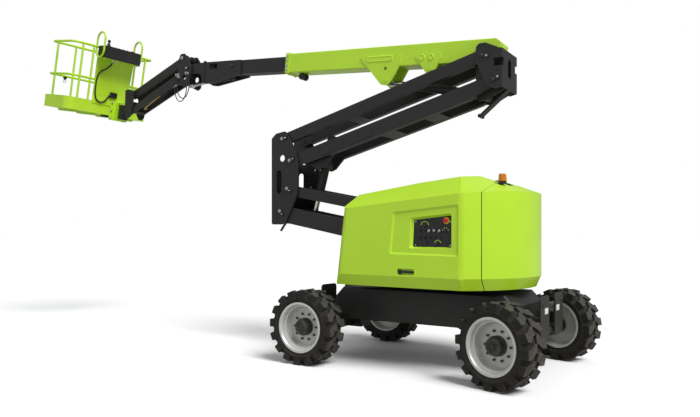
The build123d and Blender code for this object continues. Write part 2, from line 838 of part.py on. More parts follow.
# Ground control panel on its pedestal behind the near hood's window
panel_face = -body_half_width + recess_depth + 36
window_x = (window_low[0] + window_high[0]) / 2
window_z = (window_low[1] + window_high[1]) / 2
with BuildPart() as ground_panel:
    with Locations((window_x, panel_face, window_z)):
        Box(520, 30, 400, align=(Align.CENTER, Align.MIN, Align.CENTER))
    with Locations((window_x, panel_face + 30, deck_top)):
        Box(320, 250, window_high[1] - deck_top, align=(Align.CENTER, Align.MIN, Align.MIN))
    for column in range(5):
        for row in range(2):
            knob = (window_x - 130 + 58 * column, panel_face - 12, window_z - 70 + 75 * row)
            with Locations(Location(knob, (90, 0, 0))):
                Cylinder(11, 26)
    with Locations(Location((window_x + 170, panel_face - 12, window_z + 110), (90, 0, 0))):
        Cylinder(24, 26)
ground_panel.part.label = "ground_panel"
export_step(ground_panel.part, "parts/ground_panel.step")

# Beacon on the tail
with BuildPart() as beacon:
    with Locations((*beacon_spot, beacon_seat)):
        Cylinder(42, 30, align=(Align.CENTER, Align.CENTER, Align.MIN))
    with Locations((*beacon_spot, beacon_seat + 30)):
        Cone(46, 38, 80, align=(Align.CENTER, Align.CENTER, Align.MIN))
    fillet(beacon.faces().sort_by(Axis.Z)[-1].edges(), 14)
beacon.part.label = "beacon"
export_step(beacon.part, "parts/beacon.step")


def doubler(origin, angle, low, high, half_depth):
    """Raised stiffening plate on the outer face of both beams of a link."""
    start = turned(origin, angle, low, 0)
    end = turned(origin, angle, high, 0)
    both_plates(strip(start, end, -half_depth, half_depth), beam_outer, beam_outer + 5, radius=20)


def keeper(pin, angle):
    """Pin keeper plates on the outer faces, pointing away from the pin."""
    end = turned(pin, angle, 78, 0)
    both_plates(strip(pin, end, -24, 24), plate_outer, plate_outer + 10, radius=10)


# Lower riser, lower link
with BuildPart() as lower_riser_lower:
    twin_beams(mid_pin_d, post_pin_d, -105, 105, 80, beam_inner, beam_outer)
    for along in (900, 1600):
        start = turned(mid_pin_d, -lower_riser_angle, along, 0)
        end = turned(mid_pin_d, -lower_riser_angle, along + 180, 0)
        plate(strip(start, end, -105, -93), -beam_inner, beam_inner)
    lug_outline = [
        turned(mid_pin_d, -lower_riser_angle, riser_eye[0] - 120, -95),
        turned(mid_pin_d, -lower_riser_angle, riser_eye[0] + 120, -95),
        turned(mid_pin_d, -lower_riser_angle, riser_eye[0] + 60, riser_eye[1] + 50),
        turned(mid_pin_d, -lower_riser_angle, riser_eye[0] - 60, riser_eye[1] + 50),
    ]
    both_plates(lug_outline, 75, 100, radius=18)
    doubler(mid_pin_d, -lower_riser_angle, 560, 880, 70)
    doubler(mid_pin_d, -lower_riser_angle, 1180, 1500, 70)
    both_discs(rod_eye, 30, 60, 112)
    plate(
        strip(
            turned(mid_pin_d, -lower_riser_angle, riser_eye[0] - 140, 0),
            turned(mid_pin_d, -lower_riser_angle, riser_eye[0] + 140, 0),
            -105,
            -90,
        ),
        -beam_inner,
        beam_inner,
    )
    pin_bores((mid_pin_d, post_pin_d), beam_inner, beam_outer)
lower_riser_lower.part.label = "lower_riser_lower"
export_step(lower_riser_lower.part, "parts/lower_riser_lower.step")

# Lower riser, upper link
with BuildPart() as lower_riser_upper:
    twin_beams(mid_pin_c, post_pin_c, -68, 68, 66, beam_inner, beam_outer)
    for along in (700, 1700):
        start = turned(mid_pin_c, -lower_riser_angle, along, 0)
        end = turned(mid_pin_c, -lower_riser_angle, along + 160, 0)
        plate(strip(start, end, -68, -56), -beam_inner, beam_inner)
    pin_bores((mid_pin_c, post_pin_c), beam_inner, beam_outer)
lower_riser_upper.part.label = "lower_riser_upper"
export_step(lower_riser_upper.part, "parts/lower_riser_upper.step")

# Mid upright: two side plates joined by cross tubes and a back plate, with the pins of four links
with BuildPart() as mid_upright:
    outline = [
        (-2322, 2767),
        (-2250, 2830),
        (-2099, 2853),
        (-1995, 2720),
        (-1876, 2457),
        (-1883, 2005),
        (-2073, 1620),
        (-2150, 1607),
        (-2303, 1607),
    ]
    both_plates(outline, plate_inner, plate_outer, radius=28)
    for pin, angle in ((mid_pin_a, 190), (mid_pin_b, 200), (mid_pin_c, 150), (mid_pin_d, 130)):
        both_discs(pin, pin_radius, beam_inner - 8, plate_outer + 10)
        keeper(pin, angle)
    both_discs((-2141, 2492), 45, plate_inner, plate_outer, Mode.SUBTRACT)
    slot = [(-2235, 2018), (-2145, 2018), (-2145, 2329), (-2235, 2329)]
    both_plates(slot, plate_inner, plate_outer, Mode.SUBTRACT, radius=42)
    for centre in ((-2255, 1660), (-2270, 2400)):
        disc(centre, 38, -plate_inner, plate_inner)
    plate([(-2312, 1640), (-2300, 1640), (-2300, 2420), (-2312, 2420)], -plate_inner, plate_inner)
    rod_between((-2265, 1630), (-2345, 1525), 16)
mid_upright.part.label = "mid_upright"
export_step(mid_upright.part, "parts/mid_upright.step")

# Upper riser, lower link, with the gussets that carry the riser cylinder
with BuildPart() as upper_riser_lower:
    link_side = [
        turned(mid_pin_b, upper_riser_angle, along, across)
        for along, across in (
            (0, -62),
            (170, -118),
            (upper_riser_length - 330, -118),
            (upper_riser_length, -62),
            (upper_riser_length, 62),
            (0, 62),
        )
    ]
    both_plates(link_side, beam_inner, beam_outer)
    for pin in (mid_pin_b, top_pin_f):
        both_discs(pin, 62, beam_inner, beam_outer)
    gusset = [
        turned(mid_pin_b, upper_riser_angle, 120, -60),
        turned(mid_pin_b, upper_riser_angle, riser_trunnion[0] - 70, riser_trunnion[1] - 40),
        turned(mid_pin_b, upper_riser_angle, riser_trunnion[0] - 30, riser_trunnion[1] - 65),
        turned(mid_pin_b, upper_riser_angle, riser_trunnion[0] + 45, riser_trunnion[1] - 60),
        turned(mid_pin_b, upper_riser_angle, riser_trunnion[0] + 330, -60),
    ]
    both_plates(gusset, beam_inner - 22, beam_inner + 10, radius=22)
    for low, high in ((430, 780), (880, 1230)):
        doubler(turned(mid_pin_b, upper_riser_angle, 0, -28), upper_riser_angle, low, high, 62)
    both_discs(trunnion, 30 + bore_play, beam_inner - 40, beam_inner + 20, Mode.SUBTRACT)
    for along in (1300, 1900):
        start = turned(mid_pin_b, upper_riser_angle, along, 0)
        end = turned(mid_pin_b, upper_riser_angle, along + 200, 0)
        plate(strip(start, end, -118, -106), -beam_inner, beam_inner)
    pin_bores((mid_pin_b, top_pin_f), beam_inner, beam_outer)
upper_riser_lower.part.label = "upper_riser_lower"
export_step(upper_riser_lower.part, "parts/upper_riser_lower.step")

# Upper riser, upper link
with BuildPart() as upper_riser_upper:
    twin_beams(mid_pin_a, top_pin_e, -70, 70, 68, beam_inner, beam_outer)
    start = turned(mid_pin_a, upper_riser_angle, 930, 0)
    end = turned(mid_pin_a, upper_riser_angle, 1090, 0)
    plate(strip(start, end, -70, -58), -beam_inner, beam_inner)
    pin_bores((mid_pin_a, top_pin_e), beam_inner, beam_outer)
upper_riser_upper.part.label = "upper_riser_upper"
export_step(upper_riser_upper.part, "parts/upper_riser_upper.step")

# Riser cylinder: trunnion barrel and rod
riser_length = hypot(trunnion[0] - rod_eye[0], trunnion[1] - rod_eye[1])
riser_dir = ((trunnion[0] - rod_eye[0]) / riser_length, (trunnion[1] - rod_eye[1]) / riser_length)


def on_riser(distance):
    """Side-view point on the riser cylinder's axis, measured from the rod eye."""
    return (rod_eye[0] + riser_dir[0] * distance, rod_eye[1] + riser_dir[1] * distance)


with BuildPart() as riser_barrel:
    rod_between(
        on_riser(riser_length - riser_barrel_half),
        on_riser(riser_length + riser_barrel_half),
        riser_barrel_radius,
    )
    disc(trunnion, 58, -100, 100)
    disc(trunnion, 30, -beam_inner - 8, beam_inner + 8)
    rod_between(
        on_riser(riser_length - riser_barrel_half - 5),
        on_riser(riser_length + riser_barrel_half - 18),
        riser_rod_radius + bore_play,
        mode=Mode.SUBTRACT,
    )
riser_barrel.part.label = "riser_barrel"
export_step(riser_barrel.part, "parts/riser_barrel.step")

with BuildPart() as riser_rod:
    rod_between(rod_eye, on_riser(riser_rod_length), riser_rod_radius)
    disc(rod_eye, 52, -40, 40)
    disc(rod_eye, 26, -50, 50)
riser_rod.part.label = "riser_rod"
export_step(riser_rod.part, "parts/riser_rod.step")

# Upper upright: outer plates, inner cheeks, back and bottom plates, hose tongue and pins
back_x = top_pin_e[0] + 230
bottom_z = top_pin_f[1] - 92
with BuildPart() as upper_upright:
    outer_outline = [
        (top_pin_e[0] - 78, top_pin_e[1] + 40),
        (top_pin_e[0] - 50, top_pin_e[1] + 78),
        (back_x, top_pin_e[1] + 50),
        (back_x, bottom_z),
        (top_pin_f[0] + 20, top_pin_f[1] - 110),
        (top_pin_f[0] - 75, top_pin_f[1] - 70),
        (top_pin_e[0] - 70, top_pin_e[1] - 80),
    ]
    both_plates(outer_outline, plate_inner, plate_outer, radius=15)
    cheek = [
        (boom_pivot[0] - 75, boom_pivot[1] + 40),
        (boom_pivot[0] - 40, boom_pivot[1] + 75),
        (boom_pivot[0] + 40, boom_pivot[1] + 75),
        (back_x, top_pin_e[1] + 50),
        (back_x, bottom_z),
        (lift_base[0] + 50, lift_base[1] - 75),
        (lift_base[0] - 50, lift_base[1] - 75),
        (lift_base[0] - 75, lift_base[1]),
    ]
    both_plates(cheek, cheek_inner, cheek_outer, radius=15)
    back_plate = [
        (back_x - 18, bottom_z),
        (back_x, bottom_z),
        (back_x, top_pin_e[1] + 50),
        (back_x - 18, top_pin_e[1] + 50),
    ]
    plate(back_plate, -plate_outer, plate_outer)
    tongue = [(back_x - 20, bottom_z + 14), (back_x, bottom_z + 2), (560, 2856), (548, 2870)]
    plate(tongue, -55, 55)
    disc((554, 2863), 22, -55, 55)
    for pin, angle in ((top_pin_e, -20), (top_pin_f, 20)):
        both_discs(pin, pin_radius, cheek_inner, plate_outer + 10)
        keeper(pin, angle)
    disc(boom_pivot, pin_radius + 3, -cheek_outer, cheek_outer)
    disc(lift_base, 28, -cheek_outer, cheek_outer)
    with BuildSketch(Plane.YZ.offset(back_x + 5)) as hose_hole:
        with Locations((0, (top_pin_e[1] + top_pin_f[1]) / 2)):
            SlotOverall(230, 110, rotation=90)
    extrude(hose_hole.sketch, amount=-40, mode=Mode.SUBTRACT)
    for side in (-1, 1):
        with Locations((back_x - 40, side * (plate_outer - 30), top_pin_e[1] - 100)):
            Box(110, 70, 90, mode=Mode.SUBTRACT)
upper_upright.part.label = "upper_upright"
export_step(upper_upright.part, "parts/upper_upright.step")

# Boom lift cylinder
lift_length = hypot(lift_pin[0] - lift_base[0], lift_pin[1] - lift_base[1])
lift_dir = ((lift_pin[0] - lift_base[0]) / lift_length, (lift_pin[1] - lift_base[1]) / lift_length)


def on_lift(distance):
    """Side-view point on the boom lift cylinder's axis, measured from its base pin."""
    return (lift_base[0] + lift_dir[0] * distance, lift_base[1] + lift_dir[1] * distance)


with BuildPart() as lift_barrel:
    rod_between(on_lift(45), on_lift(lift_barrel_length), lift_barrel_radius)
    disc(lift_base, 58, -60, 60)
    disc(lift_base, 28 + bore_play, -70, 70, Mode.SUBTRACT)
    bore_end = on_lift(lift_barrel_length + 10)
    rod_between(on_lift(120), bore_end, lift_rod_radius + bore_play, mode=Mode.SUBTRACT)
lift_barrel.part.label = "lift_barrel"
export_step(lift_barrel.part, "parts/lift_barrel.step")

with BuildPart() as lift_rod:
    rod_between(on_lift(lift_length - lift_rod_reach), lift_pin, lift_rod_radius)
    disc(lift_pin, 50, -45, 45)
    disc(lift_pin, 25, -60, 60)
lift_rod.part.label = "lift_rod"
export_step(lift_rod.part, "parts/lift_rod.step")

# Main boom: box section with a cut-back tail, embossed lift lugs and a nose collar
with BuildPart() as main_boom:
    tube = boom_outline(
        [
            (110, -boom_half_height),
            (boom_nose, -boom_half_height),
            (boom_nose, boom_half_height),
            (-140, boom_half_height),
            (-205, 80),
            (-205, -60),
            (-60, -108),
        ]
    )
    plate(tube, -boom_half_width, boom_half_width)
    fillet(main_boom.edges().filter_by(lambda e: e.length > boom_nose - 200), boom_corner)
    bore = boom_outline(
        [
            (230, -boom_half_height + boom_wall),
            (boom_nose + 50, -boom_half_height + boom_wall),
            (boom_nose + 50, boom_half_height - boom_wall),
            (230, boom_half_height - boom_wall),
        ]
    )
    plate(bore, -boom_half_width + boom_wall, boom_half_width - boom_wall, Mode.SUBTRACT)
    with BuildSketch(boom_section(boom_nose)) as collar:
        RectangleRounded(2 * boom_half_width + 24, 2 * boom_half_height + 24, boom_corner + 6)
        Rectangle(2 * fly_half_width + 2, 2 * fly_half_height + 2, mode=Mode.SUBTRACT)
    extrude(collar.sketch, amount=-60)
    big_lug = boom_outline(
        [
            (1656, 26),
            (lift_pin_along + 75, lift_pin_across - 50),
            (lift_pin_along - 20, lift_pin_across - 68),
            (lift_pin_along - 75, lift_pin_across - 10),
            (1050, -100),
            (1050, 26),
        ]
    )
    lug_outer = boom_half_width + 12
    both_plates(big_lug, boom_half_width - 16, lug_outer, radius=22)
    emboss = boom_outline([(1530, -60), (1530, 5), (1165, 5), (1165, -60)])
    both_plates(emboss, lug_outer, lug_outer + 5, radius=28)
    both_discs(lift_pin, 25, boom_half_width - 40, lug_outer + 6)
    both_discs(boom_point(lift_pin_along + 20, -150), 22, boom_half_width - 20, lug_outer + 10, Mode.SUBTRACT)
    small_lug = boom_outline([(872, 0), (690, -240), (590, -240), (520, -60), (520, 0)])
    both_plates(small_lug, boom_half_width - 16, lug_outer, radius=22)
    for along in (640, 760):
        both_discs(boom_point(along, -45), 30, lug_outer, lug_outer + 5)
    both_discs(boom_point(640, -190), 22, boom_half_width - 30, lug_outer + 6)
    both_discs(boom_pivot, 60, boom_half_width, cheek_inner - side_play)
    disc(boom_pivot, pin_radius + 3 + bore_play, -cheek_inner, cheek_inner, Mode.SUBTRACT)
main_boom.part.label = "main_boom"
export_step(main_boom.part, "parts/main_boom.step")

# Fly section: inner tube, deeper hollow nose with a window and flange, and the lugs of the jib pivot
with BuildPart() as fly_boom:
    fly_tube = boom_outline(
        [
            (fly_inner_end, -fly_half_height),
            (fly_seam + 40, -fly_half_height),
            (fly_seam + 40, fly_half_height),
            (fly_inner_end, fly_half_height),
        ]
    )
    plate(fly_tube, -fly_half_width, fly_half_width)
    fillet(fly_boom.edges().filter_by(lambda e: e.length > 2000), 12)
    nose_side = boom_outline(
        [
            (fly_seam - 130, -fly_half_height - 14),
            (fly_seam + 490, -222),
            (fly_nose, -210),
            (fly_nose + 60, -60),
            (jib_pivot_along, jib_pivot_across - 62),
            (jib_pivot_along + 50, jib_pivot_across - 38),
            (jib_pivot_along + 50, jib_pivot_across + 38),
            (jib_pivot_along, jib_pivot_across + 62),
            (fly_nose, fly_half_height),
            (fly_seam - 130, fly_half_height),
        ]
    )
    nose_inner = fly_half_width - 13
    nose_outer = fly_half_width + 17
    both_plates(nose_side, nose_inner, nose_outer, radius=16)
    roof = boom_outline(
        [
            (fly_seam - 130, fly_half_height - 16),
            (fly_nose, fly_half_height - 16),
            (fly_nose, fly_half_height),
            (fly_seam - 130, fly_half_height),
        ]
    )
    plate(roof, -fly_half_width, fly_half_width)
    nose_window = boom_outline([(4115, -5), (4115, 70), (4268, 70), (4268, -5)])
    both_plates(nose_window, nose_inner - 5, nose_outer + 5, Mode.SUBTRACT, radius=18)
    flange = boom_outline([(fly_nose - 28, -205), (fly_nose, -205), (fly_nose, 118), (fly_nose - 28, 118)])
    both_plates(flange, nose_inner, nose_outer + 8)
    disc(level_base, 22, -fly_half_width, fly_half_width)
    both_discs(jib_pivot, 30 + bore_play, 60, 130, Mode.SUBTRACT)
fly_boom.part.label = "fly_boom"
export_step(fly_boom.part, "parts/fly_boom.step")

# Levelling cylinder inside the fly nose
level_length = hypot(level_pin[0] - level_base[0], level_pin[1] - level_base[1])
level_dir = ((level_pin[0] - level_base[0]) / level_length, (level_pin[1] - level_base[1]) / level_length)


def on_level(distance):
    """Side-view point on the levelling cylinder's axis, measured from its base pin."""
    return (level_base[0] + level_dir[0] * distance, level_base[1] + level_dir[1] * distance)


with BuildPart() as level_barrel:
    rod_between(on_level(35), on_level(430), level_barrel_radius)
    disc(level_base, 42, -40, 40)
    disc(level_base, 22 + bore_play, -50, 50, Mode.SUBTRACT)
    rod_between(on_level(80), on_level(440), level_rod_radius + bore_play, mode=Mode.SUBTRACT)
level_barrel.part.label = "level_barrel"
export_step(level_barrel.part, "parts/level_barrel.step")

with BuildPart() as level_rod:
    rod_between(on_level(370), level_pin, level_rod_radius)
    disc(level_pin, 34, -30, 30)
    disc(level_pin, 16, -60, 60)
level_rod.part.label = "level_rod"
export_step(level_rod.part, "parts/level_rod.step")

# Jib base: two plates with the pins of the fly, the jib links and the cylinders
with BuildPart() as jib_base:
    px, pz = jib_pivot
    base_outline = [
        (px + 80, pz + 20),
        (px + 45, pz + 85),
        (px - 62, pz + 235),
        (px - 145, pz + 235),
        (px - 185, pz + 160),
        (px - 185, pz + 0),
        (px - 245, pz - 100),
        (px - 225, pz - 170),
        (px - 125, pz - 250),
        (px - 40, pz - 290),
        (px + 15, pz - 262),
        (px + 80, pz - 40),
    ]
    both_plates(base_outline, jib_plate_inner, jib_plate_outer, radius=22)
    both_discs(jib_pivot, 30, 60, jib_plate_outer + 10)
    disc(jib_pin_top, jib_pin_radius, -jib_plate_outer - 6, jib_plate_outer + 6)
    both_discs(jib_pin_low, jib_pin_radius, jib_lower_inner - 4, jib_plate_outer + 6)
    disc(jib_cyl_base, 20, -jib_plate_outer, jib_plate_outer)
    both_discs(level_pin, 16, 70, jib_plate_outer + 6)
    both_discs((px - 60, pz - 120), 42, jib_plate_inner, jib_plate_outer, Mode.SUBTRACT)
jib_base.part.label = "jib_base"
export_step(jib_base.part, "parts/jib_base.step")


def jib_bores(pins, inner, outer):
    """Clear bores for the jib pins through one pair of beams."""
    for pin in pins:
        both_discs(pin, jib_pin_radius + bore_play, inner - 5, outer + 5, Mode.SUBTRACT)


# Jib upper beams, inside the lower pair
with BuildPart() as jib_upper_beam:
    twin_beams(jib_pin_top, out_pin_top, -62, 62, 60, jib_upper_inner, jib_upper_outer)
    for along in (330, 800):
        start = turned(jib_pin_top, 180 + jib_angle, along, 0)
        end = turned(jib_pin_top, 180 + jib_angle, along + 150, 0)
        plate(strip(start, end, -62, -52), -jib_upper_inner, jib_upper_inner)
    jib_bores((jib_pin_top, out_pin_top), jib_upper_inner, jib_upper_outer)
jib_upper_beam.part.label = "jib_upper_beam"
export_step(jib_upper_beam.part, "parts/jib_upper_beam.step")

# Jib lower beams, which the jib cylinder pushes
with BuildPart() as jib_lower_beam:
    twin_beams(jib_pin_low, out_pin_low, -50, 50, 50, jib_lower_inner, jib_lower_outer)
    for along in (60, jib_length - 150):
        start = turned(jib_pin_low, 180 + jib_angle, along, 0)
        end = turned(jib_pin_low, 180 + jib_angle, along + 70, 0)
        plate(strip(start, end, 40, 50), -jib_lower_inner, jib_lower_inner)
    both_discs(jib_cyl_eye, 18, 34, jib_lower_inner + 5)
    jib_bores((jib_pin_low, out_pin_low), jib_lower_inner, jib_lower_outer)
jib_lower_beam.part.label = "jib_lower_beam"
export_step(jib_lower_beam.part, "parts/jib_lower_beam.step")

# Jib cylinder between the beams
jib_cyl_length = hypot(jib_cyl_eye[0] - jib_cyl_base[0], jib_cyl_eye[1] - jib_cyl_base[1])
jib_cyl_dir = (
    (jib_cyl_eye[0] - jib_cyl_base[0]) / jib_cyl_length,
    (jib_cyl_eye[1] - jib_cyl_base[1]) / jib_cyl_length,
)


def on_jib_cyl(distance):
    """Side-view point on the jib cylinder's axis, measured from its base pin."""
    return (jib_cyl_base[0] + jib_cyl_dir[0] * distance, jib_cyl_base[1] + jib_cyl_dir[1] * distance)


with BuildPart() as jib_barrel:
    rod_between(on_jib_cyl(30), on_jib_cyl(640), jib_barrel_radius)
    disc(jib_cyl_base, 36, -34, 34)
    disc(jib_cyl_base, 20 + bore_play, -50, 50, Mode.SUBTRACT)
    rod_between(on_jib_cyl(80), on_jib_cyl(650), jib_rod_radius + bore_play, mode=Mode.SUBTRACT)
jib_barrel.part.label = "jib_barrel"
export_step(jib_barrel.part, "parts/jib_barrel.step")

with BuildPart() as jib_rod:
    rod_between(on_jib_cyl(420), jib_cyl_eye, jib_rod_radius)
    disc(jib_cyl_eye, 32, -28, 28)
jib_rod.part.label = "jib_rod"
export_step(jib_rod.part, "parts/jib_rod.step")

# Outer upright: plates with the outer pins, a cross plate and the rotator housing
with BuildPart() as outer_upright:
    ox, oz = out_pin_top
    front_x = out_pin_low[0] - 62
    outer_plate = [
        (ox + 55, oz + 65),
        (ox - 60, oz + 95),
        (front_x, oz + 85),
        (front_x, out_pin_low[1] - 70),
        (front_x + 70, out_pin_low[1] - 95),
        (ox + 5, out_pin_low[1] - 60),
        (ox + 60, oz - 150),
    ]
    both_plates(outer_plate, jib_plate_inner, jib_plate_outer, radius=20)
    disc(out_pin_top, jib_pin_radius, -jib_plate_outer - 4, jib_plate_outer + 4)
    both_discs(out_pin_low, jib_pin_radius, jib_lower_inner - 4, jib_plate_outer + 4)
    with Locations(rotator_plane):
        with Locations((0, 0, 40)):
            Cylinder(rotator_radius, 230)
            Cylinder(rotator_pin_radius, 310)
    cross_plate = [
        (front_x, out_pin_low[1] + 62),
        (front_x + 38, out_pin_low[1] + 62),
        (front_x + 38, out_pin_low[1] + 200),
        (front_x, out_pin_low[1] + 200),
    ]
    plate(cross_plate, -jib_plate_outer, jib_plate_outer)
    web = [
        (rotator_centre[0], rotator_centre[2] - 40),
        (front_x + 20, out_pin_low[1] + 62),
        (front_x + 20, out_pin_low[1] + 180),
        (rotator_centre[0], rotator_centre[2] + 105),
    ]
    plate(web, -58, 58)
outer_upright.part.label = "outer_upright"
export_step(outer_upright.part, "parts/outer_upright.step")

# Platform bracket: yoke on the rotator with stiffened arms and a foot on the floor
rotator_spot = platform_plane.to_local_coords(Vector(*rotator_centre))
arm_end = platform_depth / 2 + 8
arm_half = 60
with BuildPart() as platform_bracket:
    with Locations(platform_plane):
        for height in (rotator_spot.Z - 95, rotator_spot.Z + 175):
            with Locations((rotator_spot.X, rotator_spot.Y, height)):
                Cylinder(arm_half, 30)
            with Locations((arm_end, rotator_spot.Y, height)):
                Box(rotator_spot.X - arm_end, 2 * arm_half, 30, align=(Align.MIN, Align.CENTER, Align.CENTER))
        with Locations((arm_end, rotator_spot.Y, rotator_spot.Z - 110)):
            Box(12, 320, 320, align=(Align.MIN, Align.CENTER, Align.MIN))
        for side in (-1, 1):
            with Locations((arm_end, rotator_spot.Y + side * (arm_half - 7), rotator_spot.Z - 110)):
                web_length = rotator_spot.X - rotator_radius - 10 - arm_end
                Box(web_length, 14, 300, align=(Align.MIN, Align.CENTER, Align.MIN))
        with Locations((platform_depth / 2, rotator_spot.Y, 0)):
            Box(8, 320, floor_thickness, align=(Align.MIN, Align.CENTER, Align.MIN))
        with Locations((rotator_spot.X, rotator_spot.Y, rotator_spot.Z + 40)):
            Cylinder(rotator_pin_radius + bore_play, 340, mode=Mode.SUBTRACT)
platform_bracket.part.label = "platform_bracket"
export_step(platform_bracket.part, "parts/platform_bracket.step")


def platform_outline():
    """Plan of the platform: square outer corners and round corners towards the boom."""
    outline = Rectangle(platform_depth, platform_length)
    fillet(outline.vertices().sort_by(Axis.X)[-2:], boom_corner_radius)


# Platform floor with a tread panel on top and ribs below
with BuildPart() as platform_floor:
    with BuildSketch(platform_plane) as floor:
        platform_outline()
    extrude(floor.sketch, amount=floor_thickness)
    with Locations(platform_plane):
        with Locations((0, 0, floor_thickness)):
            Box(
                platform_depth - 2 * tread_margin,
                platform_length - 2 * boom_corner_radius,
                tread_thickness,
                align=(Align.CENTER, Align.CENTER, Align.MIN),
            )
        for y in (-0.34, -0.12, 0.12, 0.34):
            with Locations((-20, y * platform_length, 0)):
                Box(platform_depth - 160, 50, 35, align=(Align.CENTER, Align.CENTER, Align.MAX))
platform_floor.part.label = "platform_floor"
export_step(platform_floor.part, "parts/platform_floor.step")


def post_at(x, y, low, high, radius=post_radius):
    """Upright rail tube in platform axes."""
    with Locations(platform_plane):
        with Locations((x, y, low)):
            Cylinder(radius, high - low, align=(Align.CENTER, Align.CENTER, Align.MIN))


# Rails stand just inside the platform's edge
rail_x = platform_depth / 2 - rail_radius - rail_setback
rail_y = platform_length / 2 - rail_radius - rail_setback
panel_back = rail_x + rail_radius


def loop_rail(height):
    """Rail around the platform: straight tubes and bent corners, tight outside, wide on the boom side."""
    for side, bend in ((-1, outer_corner_radius), (1, boom_corner_radius - rail_radius)):
        long_x = side * rail_x
        short_x = side * (rail_x - bend)
        with Locations(platform_plane):
            with Locations(Location((long_x, 0, height), (90, 0, 0))):
                Cylinder(rail_radius, 2 * (rail_y - bend))
            with Locations(
                Location((short_x / 2, rail_y, height), (0, 90, 0)),
                Location((short_x / 2, -rail_y, height), (0, 90, 0)),
            ):
                Cylinder(rail_radius, rail_x - bend)
        for end in (-1, 1):
            start = Location((short_x, end * rail_y, height), (0, 90, 0))
            if side == end:
                start = Location((long_x, end * (rail_y - bend), height), (90, 0, 0))
            with BuildSketch(Plane(platform_plane.location * start)) as ring:
                Circle(rail_radius)
            corner = Plane(platform_plane.location * Location((short_x, end * (rail_y - bend), height)))
            revolve(ring.sketch, axis=Axis(corner.origin, corner.z_dir), revolution_arc=90)


def hoop(y):
    """Closed guard hoop beside the control box: two legs joined by half-round ends."""
    tube = rail_radius * 0.8
    bend = hoop_depth / 2
    top = rail_height - rail_radius + hoop_rise - bend
    bottom = rail_height - rail_radius - hoop_drop + bend
    for x in (rail_x, rail_x + hoop_depth):
        post_at(x, y, bottom, top, tube)
    for x, height in ((rail_x, top), (rail_x + hoop_depth, bottom)):
        with BuildSketch(Plane(platform_plane.location * Location((x, y, height)))) as ring:
            Circle(tube)
        turn_plane = Plane(platform_plane.location * Location((rail_x + bend, y, height)))
        revolve(ring.sketch, axis=Axis(turn_plane.origin, turn_plane.y_dir), revolution_arc=180)


# Rails: top and middle loops, posts, guard hoops, toe board
with BuildPart() as platform_rails:
    loop_rail(rail_height - rail_radius)
    loop_rail(rail_height / 2)
    post_y = platform_length / 2 - boom_corner_radius - 2 * rail_radius
    end_y = platform_length / 2 - outer_corner_radius - 3 * rail_radius
    for x, y in (
        (-rail_x, end_y),
        (-rail_x, -end_y),
        (-rail_x, 0.22 * platform_length),
        (-rail_x, -0.22 * platform_length),
        (rail_x, post_y),
        (rail_x, -post_y),
        (rail_x, hoop_y + 45),
        (rail_x, -hoop_y - 45),
    ):
        post_at(x, y, floor_thickness, rail_height - rail_radius)
    hoop(hoop_y)
    hoop(-hoop_y)
    with BuildSketch(Plane(platform_plane.location * Location((0, 0, floor_thickness)))) as toe:
        platform_outline()
        offset(amount=-toe_thickness, kind=Kind.INTERSECTION, mode=Mode.SUBTRACT)
    extrude(toe.sketch, amount=toe_height)
platform_rails.part.label = "platform_rails"
export_step(platform_rails.part, "parts/platform_rails.step")

# Back panel between the hoops, folded under the control box
fold_height = 560
panel_top = rail_height - 200
with BuildPart() as back_panel:
    section_plane = Plane(platform_plane.location * Location((0, hoop_y - 15, 0), (90, 0, 0)))
    with BuildSketch(section_plane) as panel_section:
        with BuildLine():
            Polyline(
                (panel_back, rotator_spot.Z + 225),
                (panel_back + 8, rotator_spot.Z + 225),
                (panel_back + 8, fold_height),
                (panel_back + 38, panel_top),
                (panel_back + hoop_depth, panel_top),
                (panel_back + hoop_depth, panel_top + 6),
                (panel_back, panel_top + 6),
                close=True,
            )
        make_face()
    extrude(panel_section.sketch, amount=2 * hoop_y - 30)
back_panel.part.label = "back_panel"
export_step(back_panel.part, "parts/back_panel.step")

# Control box between the hoops, resting on the panel's shelf
with BuildPart() as control_box:
    with Locations(platform_plane):
        with Locations((panel_back + 4, 0, panel_top + 6)):
            Box(hoop_depth, 2 * hoop_y - 40, 190, align=(Align.MIN, Align.CENTER, Align.MIN))
        with Locations((panel_back + 60, -180, panel_top + 196)):
            Cylinder(13, 95, align=(Align.CENTER, Align.CENTER, Align.MIN))
control_box.part.label = "control_box"
export_step(control_box.part, "parts/control_box.step")

# Junction box on the panel, above the bracket
with BuildPart() as junction_box:
    with Locations(platform_plane):
        with Locations((panel_back + 8, rotator_spot.Y - 130, rotator_spot.Z + 250)):
            Box(30, 120, 90, align=(Align.MIN, Align.CENTER, Align.MIN))
junction_box.part.label = "junction_box"
export_step(junction_box.part, "parts/junction_box.step")
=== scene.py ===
"""Looks of an articulating boom lift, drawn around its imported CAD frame.

Metres, in the frame's axes: +X to the counterweight, the near side at -Y, +Z up.
"""

import json
import logging
import math
from dataclasses import dataclass
from enum import Enum
from typing import Callable, Iterable, Optional, Sequence

import bmesh
import bpy
from mathutils import Matrix, Vector


